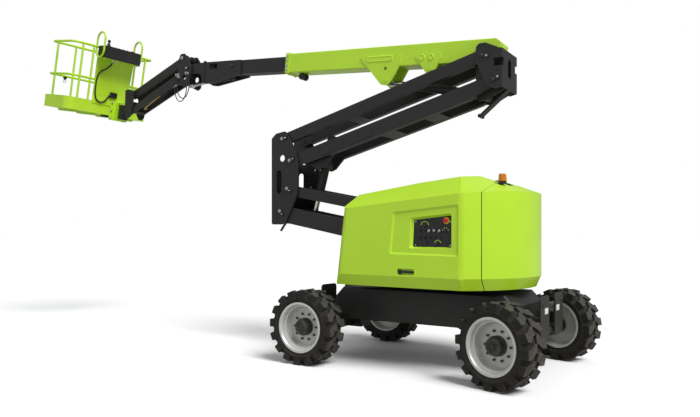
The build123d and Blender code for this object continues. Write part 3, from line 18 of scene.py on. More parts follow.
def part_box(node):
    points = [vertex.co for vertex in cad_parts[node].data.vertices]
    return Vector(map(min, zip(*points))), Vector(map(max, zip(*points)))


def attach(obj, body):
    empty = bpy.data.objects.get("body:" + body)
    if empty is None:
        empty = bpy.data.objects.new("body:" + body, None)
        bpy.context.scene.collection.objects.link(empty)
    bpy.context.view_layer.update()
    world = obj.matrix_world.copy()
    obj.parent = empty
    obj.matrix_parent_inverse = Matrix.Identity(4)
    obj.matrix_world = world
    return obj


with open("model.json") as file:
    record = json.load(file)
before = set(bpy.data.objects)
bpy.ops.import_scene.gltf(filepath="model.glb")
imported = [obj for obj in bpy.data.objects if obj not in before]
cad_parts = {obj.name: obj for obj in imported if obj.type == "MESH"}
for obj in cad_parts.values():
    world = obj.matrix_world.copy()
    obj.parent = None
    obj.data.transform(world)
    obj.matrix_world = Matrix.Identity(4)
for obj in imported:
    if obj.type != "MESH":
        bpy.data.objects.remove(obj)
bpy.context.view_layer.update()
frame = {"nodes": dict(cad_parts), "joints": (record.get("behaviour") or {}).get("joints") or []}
JOINTS = {joint["name"]: joint for joint in frame["joints"]}
LOG = logging.getLogger("boom_lift")


class Slot(str, Enum):
    """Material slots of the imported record."""

    GREEN = "green_paint"
    BLACK = "black_steel"
    CHROME = "rod_chrome"
    RUBBER = "tyre_rubber"
    RIM = "rim_silver"
    PANEL = "panel_black"
    AMBER = "beacon_amber"


def linear(hex_colour: str) -> tuple[float, float, float, float]:
    """Turns an sRGB hex colour into linear RGBA.

    Args:
        hex_colour: colour as "#RRGGBB".

    Returns:
        Linear red, green, blue and an alpha of 1.
    """
    parts = [int(hex_colour[i : i + 2], 16) / 255 for i in (1, 3, 5)]
    red, green, blue = (c / 12.92 if c <= 0.04045 else ((c + 0.055) / 1.055) ** 2.4 for c in parts)
    return (red, green, blue, 1.0)


def add_node(
    tree: bpy.types.NodeTree, kind: str, inputs: Optional[dict] = None, **settings
) -> bpy.types.Node:
    """Adds one shader node and fills its inputs.

    Args:
        tree: node tree to add to.
        kind: node type.
        inputs: socket name or index to a value or to an output socket.
        settings: properties of the node itself.

    Returns:
        The new node.
    """
    made = tree.nodes.new(kind)
    for key, value in settings.items():
        setattr(made, key, value)
    for key, value in (inputs or {}).items():
        if isinstance(value, bpy.types.NodeSocket):
            tree.links.new(value, made.inputs[key])
        else:
            made.inputs[key].default_value = value
    return made


def ramp(
    tree: bpy.types.NodeTree, value, start: float, end: float, bottom: float = 0.0, top: float = 1.0
) -> bpy.types.NodeSocket:
    """Maps a range of a value to another range.

    Args:
        tree: node tree to add to.
        value: socket of the value.
        start: value that gives the bottom.
        end: value that gives the top.
        bottom: first end of the result.
        top: second end of the result.

    Returns:
        The socket of the result.
    """
    ends = {"From Min": start, "From Max": end, "To Min": bottom, "To Max": top}
    return add_node(tree, "ShaderNodeMapRange", {"Value": value, **ends}).outputs["Result"]


def mix(tree: bpy.types.NodeTree, factor, low, high) -> bpy.types.NodeSocket:
    """Mixes two colours by a factor socket and returns the colour socket."""
    return add_node(tree, "ShaderNodeMix", {0: factor, 6: low, 7: high}, data_type="RGBA").outputs[2]


class Grain(Enum):
    """What the fine relief of a surface looks like."""

    PEEL = "ShaderNodeTexNoise"
    CELLS = "ShaderNodeTexVoronoi"
    RINGS = "ShaderNodeTexWave"


@dataclass(frozen=True)
class Finish:
    """A procedural surface; its sizes are those of the real material.

    Attributes:
        name: material name.
        colour: main sRGB colour.
        shade: colour of the slow patches in it.
        slot: record slot it belongs to; not used.
        patch_mm: size of the slow colour patches.
        grain_mm: size of the fine relief.
        relief_mm: depth of the fine relief.
        dust: share of dust that settles on top faces and low down.
        wear_and_highlight: share of the edge colour along edges; it stands for rubbed paint, and on the lime
            and charcoal paints also for a painted highlight.
    """

    name: str
    colour: str
    shade: str
    slot: Slot
    roughness: float = 0.5
    metallic: float = 0.0
    coat: float = 0.0
    transmission: float = 0.0
    grain: Grain = Grain.PEEL
    patch_mm: float = 350.0
    grain_mm: float = 4.0
    relief_mm: float = 0.05
    dust: float = 0.0
    dust_colour: str = "#9A8F7C"
    wear_and_highlight: float = 0.0
    wear_and_highlight_colour: str = "#8E9092"

    def material(self) -> bpy.types.Material:
        """Builds the node material once and hands it out again.

        Returns:
            The Blender material of this finish.
        """
        if self.name in bpy.data.materials:
            return bpy.data.materials[self.name]
        made = bpy.data.materials.new(self.name)
        made.use_nodes = True
        tree = made.node_tree
        tree.nodes.clear()
        place = add_node(tree, "ShaderNodeTexCoord").outputs["Object"]
        cloud = {"Vector": place, "Scale": 1000 / self.patch_mm, "Detail": 5.0, "Roughness": 0.62}
        patch = add_node(tree, "ShaderNodeTexNoise", cloud).outputs["Fac"]
        grain_node = add_node(tree, self.grain.value, {"Vector": place, "Scale": 1000 / self.grain_mm})
        grain = grain_node.outputs["Distance" if self.grain is Grain.CELLS else "Fac"]
        tone = ramp(tree, patch, 0.35, 0.68)
        colour = mix(tree, tone, linear(self.shade), linear(self.colour))
        # Edges take the edge colour: rubbed paint, and on the paints also a painted highlight
        if self.wear_and_highlight:
            colour = mix(tree, self._worn_and_highlit_edges(tree, place), colour, linear(self.wear_and_highlight_colour))
        if self.dust:
            colour = mix(tree, self._settled(tree, patch, place), colour, linear(self.dust_colour))
        sheen = (max(0.02, self.roughness - 0.07), min(1.0, self.roughness + 0.07))
        rough = ramp(tree, patch, 0.3, 0.7, *sheen)
        bump = {"Height": grain, "Strength": 0.7, "Distance": self.relief_mm / 1000}
        relief = add_node(tree, "ShaderNodeBump", bump).outputs["Normal"]
        look = {
            "Base Color": colour, "Roughness": rough, "Metallic": self.metallic, "Coat Weight": self.coat,
            "Coat Roughness": 0.12, "Transmission Weight": self.transmission, "Normal": relief,
        }
        surface = add_node(tree, "ShaderNodeBsdfPrincipled", look)
        add_node(tree, "ShaderNodeOutputMaterial", {"Surface": surface.outputs["BSDF"]})
        return made

    def _worn_and_highlit_edges(self, tree: bpy.types.NodeTree, place) -> bpy.types.NodeSocket:
        """Mask of the edge colour, rubbed paint and a painted highlight: where a rounded normal leaves the
        true one.
        """
        rounded = add_node(tree, "ShaderNodeBevel", {"Radius": 0.004}, samples=3).outputs["Normal"]
        true = add_node(tree, "ShaderNodeNewGeometry").outputs["True Normal"]
        same = add_node(tree, "ShaderNodeVectorMath", {0: rounded, 1: true}, operation="DOT_PRODUCT")
        edge = ramp(tree, same.outputs["Value"], 0.97, 0.85, top=self.wear_and_highlight)
        chips = add_node(tree, "ShaderNodeTexNoise", {"Vector": place, "Scale": 60.0, "Detail": 4.0})
        broken = ramp(tree, chips.outputs["Fac"], 0.48, 0.6)
        return add_node(tree, "ShaderNodeMath", {0: edge, 1: broken}, operation="MULTIPLY").outputs[0]

    def _settled(self, tree: bpy.types.NodeTree, patch, place) -> bpy.types.NodeSocket:
        """Mask of dust: on faces that look up, and near the ground."""
        normal = add_node(tree, "ShaderNodeNewGeometry").outputs["Normal"]
        upward = add_node(tree, "ShaderNodeSeparateXYZ", {0: normal}).outputs["Z"]
        top = ramp(tree, upward, 0.4, 1.0, top=0.6)
        height = add_node(tree, "ShaderNodeSeparateXYZ", {0: place}).outputs["Z"]
        low = ramp(tree, height, 0.95, 0.1)
        most = add_node(tree, "ShaderNodeMath", {0: top, 1: low}, operation="MAXIMUM").outputs[0]
        patchy = ramp(tree, patch, 0.35, 0.7, top=self.dust)
        return add_node(tree, "ShaderNodeMath", {0: most, 1: patchy}, operation="MULTIPLY").outputs[0]


# Lime powder coat on sheet steel and glass-fibre hoods: glossy, with faint orange peel; its pale lime edges
# are a painted highlight
GREEN = Finish(
    "lime_powder_coat", "#B7E22A", "#B1DC27", Slot.GREEN, roughness=0.4, coat=0.15, patch_mm=900,
    grain_mm=3.0, relief_mm=0.03, dust=0.12, wear_and_highlight=0.25, wear_and_highlight_colour="#D6E6A4",
)
# Charcoal two-pack paint on the welded arms and the chassis; the grey along its edges is partly rubbed paint,
# partly a painted highlight
BLACK = Finish(
    "charcoal_paint", "#1A1A1B", "#141415", Slot.BLACK, roughness=0.55, patch_mm=500,
    grain_mm=2.5, relief_mm=0.05, dust=0.14, wear_and_highlight=0.45, wear_and_highlight_colour="#525356",
)
# Hard chrome on ground rods
CHROME = Finish(
    "hard_chrome", "#D9DBDC", "#C6C8CA", Slot.CHROME, roughness=0.16, metallic=1.0, patch_mm=120,
    grain_mm=0.8, relief_mm=0.004,
)
# The jib rod's warm oiled tone
BRONZE = Finish(
    "oiled_rod", "#B59A6B", "#9D8459", Slot.CHROME, roughness=0.22, metallic=1.0, patch_mm=90,
    grain_mm=0.8, relief_mm=0.004,
)
# Foam-filled tyre rubber, greyed by dry soil
RUBBER = Finish(
    "tyre_compound", "#191817", "#121110", Slot.RUBBER, roughness=0.86, patch_mm=70, grain_mm=3.5,
    relief_mm=0.35, dust=0.3, dust_colour="#4E4840", wear_and_highlight=0.25, wear_and_highlight_colour="#4E4942",
)
# Lug tops scuffed pale by the road
TREAD = Finish(
    "scuffed_tread", "#3A3833", "#2E2C29", Slot.RUBBER, roughness=0.9, patch_mm=45, grain_mm=3.0,
    relief_mm=0.3, dust=0.5, dust_colour="#6B6457",
)
# Silver wheel enamel with fine flake
RIM = Finish(
    "silver_enamel", "#D2D3D1", "#C2C3C2", Slot.RIM, roughness=0.4, metallic=0.25, grain=Grain.CELLS,
    patch_mm=160, grain_mm=1.6, relief_mm=0.01, dust=0.18,
)
# Black hub casting
HUB = Finish(
    "hub_casting", "#1E1E1F", "#161617", Slot.BLACK, roughness=0.5, patch_mm=60, grain_mm=1.8,
    relief_mm=0.12, dust=0.3,
)
# Moulded instrument plastic with leather-like grain
PANEL = Finish(
    "moulded_plastic", "#1C1D1E", "#161718", Slot.PANEL, roughness=0.48, grain=Grain.CELLS, patch_mm=200,
    grain_mm=1.4, relief_mm=0.06, dust=0.1,
)
# Wire-braid hose with a wrapped rubber cover
HOSE = Finish(
    "hose_cover", "#191919", "#121212", Slot.PANEL, roughness=0.62, grain=Grain.CELLS, patch_mm=80,
    grain_mm=2.2, relief_mm=0.12, dust=0.15,
)
# Bright zinc on fasteners and fittings
ZINC = Finish(
    "bright_zinc", "#C9CBCD", "#AEB1B4", Slot.CHROME, roughness=0.3, metallic=0.9, patch_mm=18,
    grain_mm=1.2, relief_mm=0.02,
)
# Prismatic amber lens of the beacon
AMBER = Finish(
    "amber_lens", "#F69A1E", "#EA8412", Slot.AMBER, roughness=0.18, transmission=0.35, grain=Grain.RINGS,
    patch_mm=60, grain_mm=9.0, relief_mm=0.8,
)
# Emergency stops: red phenolic button on a yellow collar
RED = Finish(
    "stop_red", "#C4161C", "#AD1116", Slot.PANEL, roughness=0.3, patch_mm=20, grain_mm=0.8, relief_mm=0.02
)
YELLOW = Finish(
    "stop_yellow", "#F2C414", "#E2B40F", Slot.PANEL, roughness=0.4, patch_mm=25, grain_mm=0.8, relief_mm=0.02
)
# Blank enamelled plates and small pale fittings
WHITE = Finish(
    "blank_enamel", "#E6E6E2", "#D9D9D4", Slot.RIM, roughness=0.4, patch_mm=40, grain_mm=1.0, relief_mm=0.01,
    dust=0.25,
)

WHEELS = ("drive_near", "drive_far", "steer_near", "steer_far")
NODE_FINISH = {
    GREEN: ("main_boom", "counterweight", "hood_near", "hood_far", "platform_bracket", "platform_floor",
            "platform_rails", "back_panel"),
    CHROME: ("riser_rod", "lift_rod", "level_rod"),
    BRONZE: ("jib_rod",),
    RUBBER: tuple(f"tyre_{wheel}" for wheel in WHEELS),
    RIM: tuple(f"rim_{wheel}" for wheel in WHEELS),
    PANEL: ("ground_panel", "control_box", "junction_box"),
    AMBER: ("beacon",),
}

# Rest angles of the main boom and of the upper riser, in degrees
BOOM_ANGLE = 4.3
UPPER_RISER_ANGLE = 15.2
# Edges above this angle in degrees stay sharp
SHARP_ANGLE = 38.0
# Place of the platform's own axes: centre of the floor, tilted and turned
PLATFORM = (
    Matrix.Translation((-6.230, -0.097, 3.473))
    @ Matrix.Rotation(math.radians(9.5), 4, "Y")
    @ Matrix.Rotation(math.radians(-7), 4, "Z")
)
NEAR = Vector((0, -1, 0))
UP = Vector((0, 0, 1))


def facing(at: Vector, axis: Vector) -> Matrix:
    """Gives the matrix of a place whose local Z runs along an axis.

    Args:
        at: origin of the place.
        axis: direction of its local Z.

    Returns:
        The 4 by 4 matrix.
    """
    return Matrix.Translation(at) @ axis.to_track_quat("Z", "Y").to_matrix().to_4x4()


def boom_at(along: float, across: float, y: float) -> Vector:
    """Gives a point of the main boom from its pivot.

    Args:
        along: distance towards the nose.
        across: distance square to the boom, upwards.
        y: place across the machine.

    Returns:
        The point in the frame.
    """
    pivot = JOINTS["boom_lift"]["pos_m"]
    c, s = math.cos(math.radians(BOOM_ANGLE)), math.sin(math.radians(BOOM_ANGLE))
    return Vector((pivot[0] - along * c + across * s, y, pivot[2] + along * s + across * c))


class Draft:
    """A mesh in the making, which becomes one piece on one body."""

    def __init__(self) -> None:
        self.bm = bmesh.new()

    def lathe(
        self, profile: Iterable[tuple[float, float]], at: Vector, axis: Vector, steps: int = 28
    ) -> None:
        """Spins a profile around an axis.

        Args:
            profile: radius and height pairs.
            at: point on the axis where height is zero.
            axis: direction of height.
            steps: faces round the turn.
        """
        seat = facing(at, axis)
        verts = [self.bm.verts.new(seat @ Vector((radius, 0, height))) for radius, height in profile]
        edges = [self.bm.edges.new(pair) for pair in zip(verts, verts[1:])]
        self.spin(verts + edges, at, axis, steps)

    def spin(self, geom: list, at: Vector, axis: Vector, steps: int) -> None:
        """Sweeps points and edges once round an axis, in so many steps."""
        bmesh.ops.spin(
            self.bm, geom=geom, cent=at, axis=axis, dvec=(0, 0, 0), angle=math.tau, steps=steps,
            space=Matrix.Identity(4), use_merge=True,
        )

    def _soften(self, edges: Iterable, radius: float, steps: int) -> None:
        """Rounds edges to a radius, in so many steps."""
        bmesh.ops.bevel(
            self.bm, geom=list(edges), offset=radius, offset_type="OFFSET", segments=steps, profile=0.5,
            affect="EDGES", material=-1,
        )

    def bolt(self, at: Vector, axis: Vector, flats: float, washer: bool = True) -> None:
        """Adds a chamfered hexagon head on its washer.

        Args:
            at: point on the surface.
            axis: direction away from it.
            flats: width across flats.
            washer: whether a washer lies under the head.
        """
        seat = 0.0
        if washer:
            seat = 0.12 * flats
            rim = 0.92 * flats
            self.lathe(
                [(0, 0), (rim, 0), (rim, seat * 0.8), (rim - seat * 0.3, seat), (0, seat)], at, axis, 20
            )
        height = 0.62 * flats
        corner = 0.577 * flats
        head = bmesh.ops.create_cone(
            self.bm, cap_ends=True, segments=6, radius1=corner, radius2=corner, depth=height,
            matrix=facing(at + axis * (seat + height / 2), axis),
        )
        faces = {f for v in head["verts"] for f in v.link_faces}
        top = max(faces, key=lambda f: f.calc_center_median().dot(axis))
        self._soften(top.edges, 0.09 * flats, 2)

    def block(self, seat: Matrix, size: Sequence[float], bevel: float) -> None:
        """Adds a box with rounded edges.

        Args:
            seat: matrix of its centre.
            size: length along each local axis.
            bevel: radius of the edges.
        """
        cube = bmesh.ops.create_cube(self.bm, size=1.0, matrix=seat @ Matrix.Diagonal((*size, 1.0)))
        self._soften({e for v in cube["verts"] for e in v.link_edges}, bevel, 3)

    def place(self, name: str, body: str, finish: Finish) -> None:
        """Turns the draft into a piece that rides on a body.

        Args:
            name: piece name.
            body: CAD body it moves with.
            finish: its surface.
        """
        bmesh.ops.remove_doubles(self.bm, verts=self.bm.verts, dist=1e-6)
        bmesh.ops.recalc_face_normals(self.bm, faces=self.bm.faces)
        data = bpy.data.meshes.new(name)
        self.bm.to_mesh(data)
        self.bm.free()
        data.polygons.foreach_set("use_smooth", [True] * len(data.polygons))
        data.set_sharp_from_angle(angle=math.radians(SHARP_ANGLE))
        seat_piece(bpy.data.objects.new(name, data), body, finish)


def seat_piece(piece: bpy.types.Object, body: str, finish: Finish) -> bpy.types.Object:
    """Links a piece, gives it its surface and sets it on a body.

    Args:
        piece: new object.
        body: CAD body it moves with.
        finish: its surface.

    Returns:
        The same object.
    """
    bpy.context.scene.collection.objects.link(piece)
    piece.data.materials.append(finish.material())
    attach(piece, body)
    return piece


def hose(name: str, points: Sequence[Vector], diameter: float, body: str) -> bpy.types.Object:
    """Lays a hose along a smooth spline.

    Args:
        name: piece name.
        points: control points of the spline.
        diameter: outside diameter.
        body: CAD body it moves with.

    Returns:
        The curve object.
    """
    curve = bpy.data.curves.new(name, "CURVE")
    curve.dimensions = "3D"
    curve.bevel_depth = diameter / 2
    curve.bevel_resolution = 4
    curve.resolution_u = 10
    curve.use_fill_caps = True
    spline = curve.splines.new("NURBS")
    spline.points.add(len(points) - 1)
    for point, place in zip(spline.points, points):
        point.co = (*place, 1.0)
    spline.order_u = 3
    spline.use_endpoint_u = True
    return seat_piece(bpy.data.objects.new(name, curve), body, HOSE)


def fitting(draft: Draft, at: Vector, axis: Vector, diameter: float) -> None:
    """Adds the crimped sleeve and swivel nut that end a hose.

    Args:
        draft: draft to draw in.
        at: point where the hose meets the machine.
        axis: direction in which the hose leaves.
        diameter: outside diameter of the hose.
    """
    ring = 0.72 * diameter
    draft.lathe(
        [(0, 0), (ring, 0), (ring, diameter), (0.6 * diameter, diameter), (0.64 * diameter, 1.2 * diameter),
         (0.64 * diameter, 2.6 * diameter), (0.52 * diameter, 2.7 * diameter), (0, 2.7 * diameter)],
        at, axis, 18,
    )
    draft.bolt(at, axis, 1.7 * diameter, washer=False)


def reach(node: str, at: Vector, axis: Vector, inner: float = 0.0, outer: float = 1e9) -> float:
    """Measures how far a node goes along an axis.

    Args:
        node: CAD node.
        at: point on the axis.
        axis: direction to measure in.
        inner: least distance from the axis that counts.
        outer: greatest distance from the axis that counts.

    Returns:
        The greatest distance along the axis.
    """
    best = -1e9
    for vert in frame["nodes"][node].data.vertices:
        step = vert.co - at
        along = step.dot(axis)
        if inner <= (step - axis * along).length <= outer:
            best = max(best, along)
    return best


def second_finish(node: str, finish: Finish, test: Callable[[Vector], bool]) -> None:
    """Gives some faces of a CAD node another surface.

    Args:
        node: CAD node.
        finish: surface of the chosen faces.
        test: takes a face centre and says whether it is chosen.
    """
    data = frame["nodes"][node].data
    data.materials.append(finish.material())
    for face in data.polygons:
        if test(face.center):
            face.material_index = len(data.materials) - 1


@dataclass
class Wheel:
    """One wheel: hub and tread finishes, nuts, bolts of the hub cap, valve and sidewall rings."""

    name: str
    nuts: int = 10
    nut_circle: float = 0.148
    cap_bolts: int = 8
    cap_circle: float = 0.044
    cap_face: float = 0.126
    tread_radius: float = 0.412

    def build(self) -> None:
        """Draws the wheel's pieces around its CAD rim and tyre."""
        body = f"wheel_{self.name}"
        joint = JOINTS[body]
        centre = Vector(joint["pos_m"])
        outward = Vector(joint["axis"]).normalized()
        if outward.y > 0 and self.name.endswith("near"):
            outward.negate()
        across = UP.cross(outward).normalized()

        def on_hub(spot: Vector) -> bool:
            """Says whether a face centre lies on the hub."""
            step = spot - centre
            depth = step.dot(outward)
            radius = (step - outward * depth).length
            return (radius < 0.101 and depth > 0.019) or (radius < 0.165 and depth > 0.0195)

        def on_lug(spot: Vector) -> bool:
            """Says whether a face centre lies on the top of a lug."""
            step = spot - centre
            return (step - outward * step.dot(outward)).length > self.tread_radius

        def ray(degrees: float) -> Vector:
            """Gives the direction at an angle round the wheel."""
            turn = math.radians(degrees)
            return across * math.cos(turn) + UP * math.sin(turn)

        second_finish(f"rim_{self.name}", HUB, on_hub)
        second_finish(f"tyre_{self.name}", TREAD, on_lug)
        nuts, cap = Draft(), Draft()
        for count in range(self.nuts):
            spot = centre + ray(360 / self.nuts * count) * self.nut_circle + outward * 0.011
            nuts.bolt(spot, outward, 0.024, washer=False)
        for count in range(self.cap_bolts):
            spot = centre + ray(360 / self.cap_bolts * count + 22) * self.cap_circle + outward * self.cap_face
            cap.bolt(spot, outward, 0.013)
        cap.lathe(
            [(0, self.cap_face), (0.026, self.cap_face), (0.028, 0.13), (0.026, 0.136), (0.018, 0.138),
             (0.016, 0.134), (0, 0.134)],
            centre, outward,
        )
        nuts.place(f"wheel_nuts_{self.name}", body, HUB)
        cap.place(f"hub_bolts_{self.name}", body, HUB)
        valve = Draft()
        valve.lathe(
            [(0, 0), (0.009, 0), (0.008, 0.012), (0.005, 0.016), (0.005, 0.032), (0, 0.034)],
            centre + across * 0.214 + outward * 0.02, outward, 14,
        )
        valve.place(f"valve_{self.name}", body, RUBBER)
        rings = Draft()
        for radius in (0.306, 0.335):
            depth = reach(f"tyre_{self.name}", centre, outward, radius - 0.012, radius + 0.012)
            rings.lathe(
                [(radius - 0.006, depth - 0.012), (radius - 0.003, depth + 0.001),
                 (radius + 0.003, depth + 0.001), (radius + 0.006, depth - 0.012)],
                centre, outward, 72,
            )
        rings.place(f"sidewall_rings_{self.name}", body, RUBBER)


@dataclass
class KeeperBolts:
    """Bright bolts on the pin keepers of an upright, with a grease nipple in each pin.

    Attributes:
        body: CAD body of the upright.
        pins: X and Z of each pin, and the angle in degrees at which its bolt stands.
        face: distance of the keepers from the middle.
        offset: distance of a bolt from its pin.
        sunk: how deep the bolts lie in the keepers.
    """

    body: str
    pins: Sequence[tuple[float, float, float]]
    face: float = 0.268
    offset: float = 0.056
    sunk: float = 0.0

    def build(self) -> None:
        """Draws the bolts on both sides of the upright."""
        bolts, nipples = Draft(), Draft()
        face = self.face - self.sunk
        for x, z, degrees in self.pins:
            angle = math.radians(degrees)
            along, up = self.offset * math.cos(angle), self.offset * math.sin(angle)
            for side in (-1, 1):
                out = Vector((0, side, 0))
                bolts.bolt(Vector((x + along, side * face, z + up)), out, 0.024)
                nipples.lathe(
                    [(0, 0), (0.009, 0), (0.009, 0.004), (0.004, 0.006), (0.0055, 0.012), (0.003, 0.016),
                     (0, 0.016)],
                    Vector((x, side * face, z)), out, 12,
                )
        bolts.place(f"keeper_bolts_{self.body}", self.body, ZINC)
        nipples.place(f"grease_nipples_{self.body}", self.body, ZINC)


@dataclass
class JibPins:
    """Hexagon heads on the ends of the jib's pins."""

    body: str
    joints: Sequence[str]
    face: float

    def build(self) -> None:
        """Draws one head at each end of each pin."""
        heads = Draft()
        for name in self.joints:
            x, _, z = JOINTS[name]["pos_m"]
            for side in (-1, 1):
                heads.bolt(Vector((x, side * self.face, z)), Vector((0, side, 0)), 0.03)
        heads.place(f"pin_heads_{self.body}", self.body, ZINC)


@dataclass
class Ram:
    """A hydraulic cylinder: gland with its socket screws, and the two ports."""

    barrel: str
    turn: str
    slide: str

    def build(self) -> None:
        """Draws the gland where the rod leaves the barrel and a port near each end."""
        at = Vector(JOINTS[self.turn]["pos_m"])
        along = Vector(JOINTS[self.slide]["axis"]).normalized()
        end = reach(self.barrel, at, along)
        start = -reach(self.barrel, at, -along)
        radius = reach(self.barrel, at + along * end, NEAR)
        gland = Draft()
        gland.lathe(
            [(radius * 0.72, end - 0.001), (radius * 0.72, end + 0.004), (radius - 0.002, end + 0.004),
             (radius + 0.002, end - 0.002), (radius + 0.002, end - 0.026), (radius - 0.001, end - 0.028)],
            at, along, 40,
        )
        for count in range(6):
            turn = Matrix.Rotation(math.radians(60 * count), 3, along)
            gland.bolt(at + along * (end + 0.003) + turn @ NEAR * radius * 0.85, along, 0.009, washer=False)
        gland.place(f"gland_{self.barrel}", self.barrel, BLACK)
        ports = Draft()
        side = along.cross(NEAR).normalized()
        for spot in (end - 0.06, max(start + 0.12, 0.1)):
            ports.lathe(
                [(0, radius - 0.004), (0.013, radius - 0.004), (0.012, radius + 0.004),
                 (0.008, radius + 0.006), (0.008, radius + 0.009), (0, radius + 0.009)],
                at + along * spot, side if side.z > 0 else -side, 16,
            )
        ports.place(f"ports_{self.barrel}", self.barrel, ZINC)


@dataclass
class StopButton:
    """Emergency stop: red mushroom on a yellow collar."""

    name: str
    at: Vector
    axis: Vector
    body: str

    def build(self) -> None:
        """Draws the collar and the button."""
        collar, button = Draft(), Draft()
        collar.lathe(
            [(0, 0), (0.036, 0), (0.036, 0.004), (0.033, 0.007), (0.026, 0.008), (0.024, 0.012), (0, 0.012)],
            self.at, self.axis, 40,
        )
        button.lathe(
            [(0.015, 0.011), (0.016, 0.018), (0.024, 0.02), (0.027, 0.024), (0.026, 0.03), (0.02, 0.034),
             (0, 0.036)],
            self.at, self.axis, 40,
        )
        collar.place(f"{self.name}_collar", self.body, YELLOW)
        button.place(f"{self.name}_button", self.body, RED)


def toggle(draft: Draft, at: Vector, axis: Vector, lean: Vector) -> None:
    """Adds a toggle switch: threaded collar, nut and a leaning lever.

    Args:
        draft: draft to draw in.
        at: point on the panel.
        axis: direction away from the panel.
        lean: direction in which the lever tips.
    """
    draft.lathe(
        [(0, 0), (0.013, 0), (0.013, 0.004), (0.009, 0.005), (0.009, 0.012), (0, 0.012)], at, axis, 20
    )
    lever = (axis + lean * 0.35).normalized()
    draft.lathe(
        [(0, 0.004), (0.004, 0.006), (0.0045, 0.02), (0.0062, 0.03), (0.0055, 0.036), (0, 0.038)],
        at, lever, 14,
    )


def rounded(corners: Sequence[tuple[float, float]], radius: float, steps: int = 6) -> list[Vector]:
    """Rounds the corners of a convex outline.

    Args:
        corners: corners in order.
        radius: distance from a corner at which its bend starts.
        steps: points of each bend.

    Returns:
        The points of the rounded outline.
    """
    spots = [Vector(corner) for corner in corners]
    outline = []
    for before, here, after in zip(spots[-1:] + spots[:-1], spots, spots[1:] + spots[:1]):
        start = here + (before - here).normalized() * radius
        end = here + (after - here).normalized() * radius
        for step in range(steps + 1):
            share = step / steps
            outline.append(start.lerp(here, share).lerp(here.lerp(end, share), share))
    return outline


def splay(draft: Draft, rings: Sequence[tuple[list[Vector], float]]) -> None:
    """Adds a closed ring whose section joins several outlines.

    Args:
        draft: draft to draw in.
        rings: outlines in side view, each with its place across the machine.
    """
    loops = [[draft.bm.verts.new((p.x, y, p.y)) for p in outline] for outline, y in rings]
    for loop, after in zip(loops, loops[1:] + loops[:1]):
        for i in range(len(loop)):
            draft.bm.faces.new((loop[i - 1], loop[i], after[i], after[i - 1]))


@dataclass
class GroundControls:
    """What shows in the near hood's window, the edges of its recess, and the hood's latch.

    Attributes:
        face: Y of the control panel.
        side: Y of the hood's side.
        step: depth of the hood's recess.
        centre: X and Z of the middle of the panel.
        knobs: X and Z from the centre, radius of the marks and their number, for each dial.
    """

    face: float = -0.920
    side: float = -0.970
    step: float = 0.014
    centre: tuple[float, float] = (0.3575, 1.530)
    knobs: Sequence[tuple[float, float, float, int]] = (
        (-0.075, 0.055, 0.046, 8), (0.075, -0.128, 0.034, 7), (0.160, 0.000, 0.034, 4)
    )

    def build(self) -> None:
        """Draws the dials, switches, stop button, recess edges and latch handle."""
        x, z = self.centre
        levers, marks, dials, screws = Draft(), Draft(), Draft(), Draft()
        for dx, dz, ring, count in self.knobs:
            hub = Vector((x + dx, self.face, z + dz))
            dials.lathe(
                [(0, 0), (0.024, 0), (0.024, 0.004), (0.015, 0.006), (0.013, 0.020), (0, 0.021)], hub, NEAR
            )
            for step in range(count):
                turn = math.radians(20 + 140 * step / (count - 1))
                spot = hub + Vector((ring * math.cos(turn), 0, ring * math.sin(turn)))
                marks.lathe([(0, 0), (0.0055, 0), (0.0055, 0.0012), (0, 0.0014)], spot, NEAR, 10)
        for count in range(3):
            spot = Vector((x - 0.014 + 0.058 * count, self.face - 0.025, z + 0.005))
            toggle(levers, spot, NEAR, UP if count % 2 else -UP)
        screen = Matrix.Translation((x - 0.110, self.face - 0.003, z - 0.126))
        dials.block(screen, (0.130, 0.008, 0.058), 0.003)
        for dx in (-0.180, 0.215):
            for dz in (-0.150, 0.100):
                screws.bolt(Vector((x + dx, self.face, z + dz)), NEAR, 0.010)
        levers.place("ground_toggles", "turntable", ZINC)
        marks.place("ground_marks", "turntable", GREEN)
        dials.place("ground_dials", "turntable", HUB)
        screws.place("ground_panel_screws", "turntable", ZINC)
        StopButton("ground_stop", Vector((x + 0.170, self.face, z + 0.110)), NEAR, "turntable").build()
        self._frames()
        latch = Draft()
        latch.lathe(
            [(0, 0), (0.024, 0), (0.024, 0.018), (0.021, 0.022), (0.012, 0.023), (0.010, 0.020), (0, 0.020)],
            Vector((0.006, -0.938, 1.090)), NEAR, 28,
        )
        latch.block(Matrix.Translation((0.092, -0.955, 1.093)), (0.150, 0.012, 0.026), 0.005)
        latch.block(Matrix.Translation((0.160, -0.947, 1.093)), (0.016, 0.018, 0.020), 0.004)
        latch.place("hood_latch", "hood_near", PANEL)

    def _frames(self) -> None:
        """Draws the sloped edges of the hood's recess and of the window in it."""
        floor = self.side + self.step
        recess = ((-0.070, 1.732), (0.682, 1.806), (0.678, 1.270), (-0.116, 1.281))
        inner = ((-0.050, 1.717), (0.663, 1.786), (0.660, 1.289), (-0.094, 1.299))
        window = ((0.115, 1.345), (0.600, 1.353), (0.600, 1.715), (0.135, 1.670))
        throat = ((0.148, 1.362), (0.590, 1.364), (0.590, 1.692), (0.162, 1.648))
        edge = Draft()
        splay(
            edge,
            [(rounded(recess, 0.025), self.side + 0.001), (rounded(inner, 0.015), floor - 0.0005),
             (rounded(recess, 0.025), floor + 0.002)],
        )
        splay(
            edge,
            [(rounded(window, 0.025), floor + 0.0005), (rounded(throat, 0.018), self.face - 0.006),
             (rounded(window, 0.025), self.face - 0.006)],
        )
        edge.place("hood_recess_edges", "hood_near", GREEN)


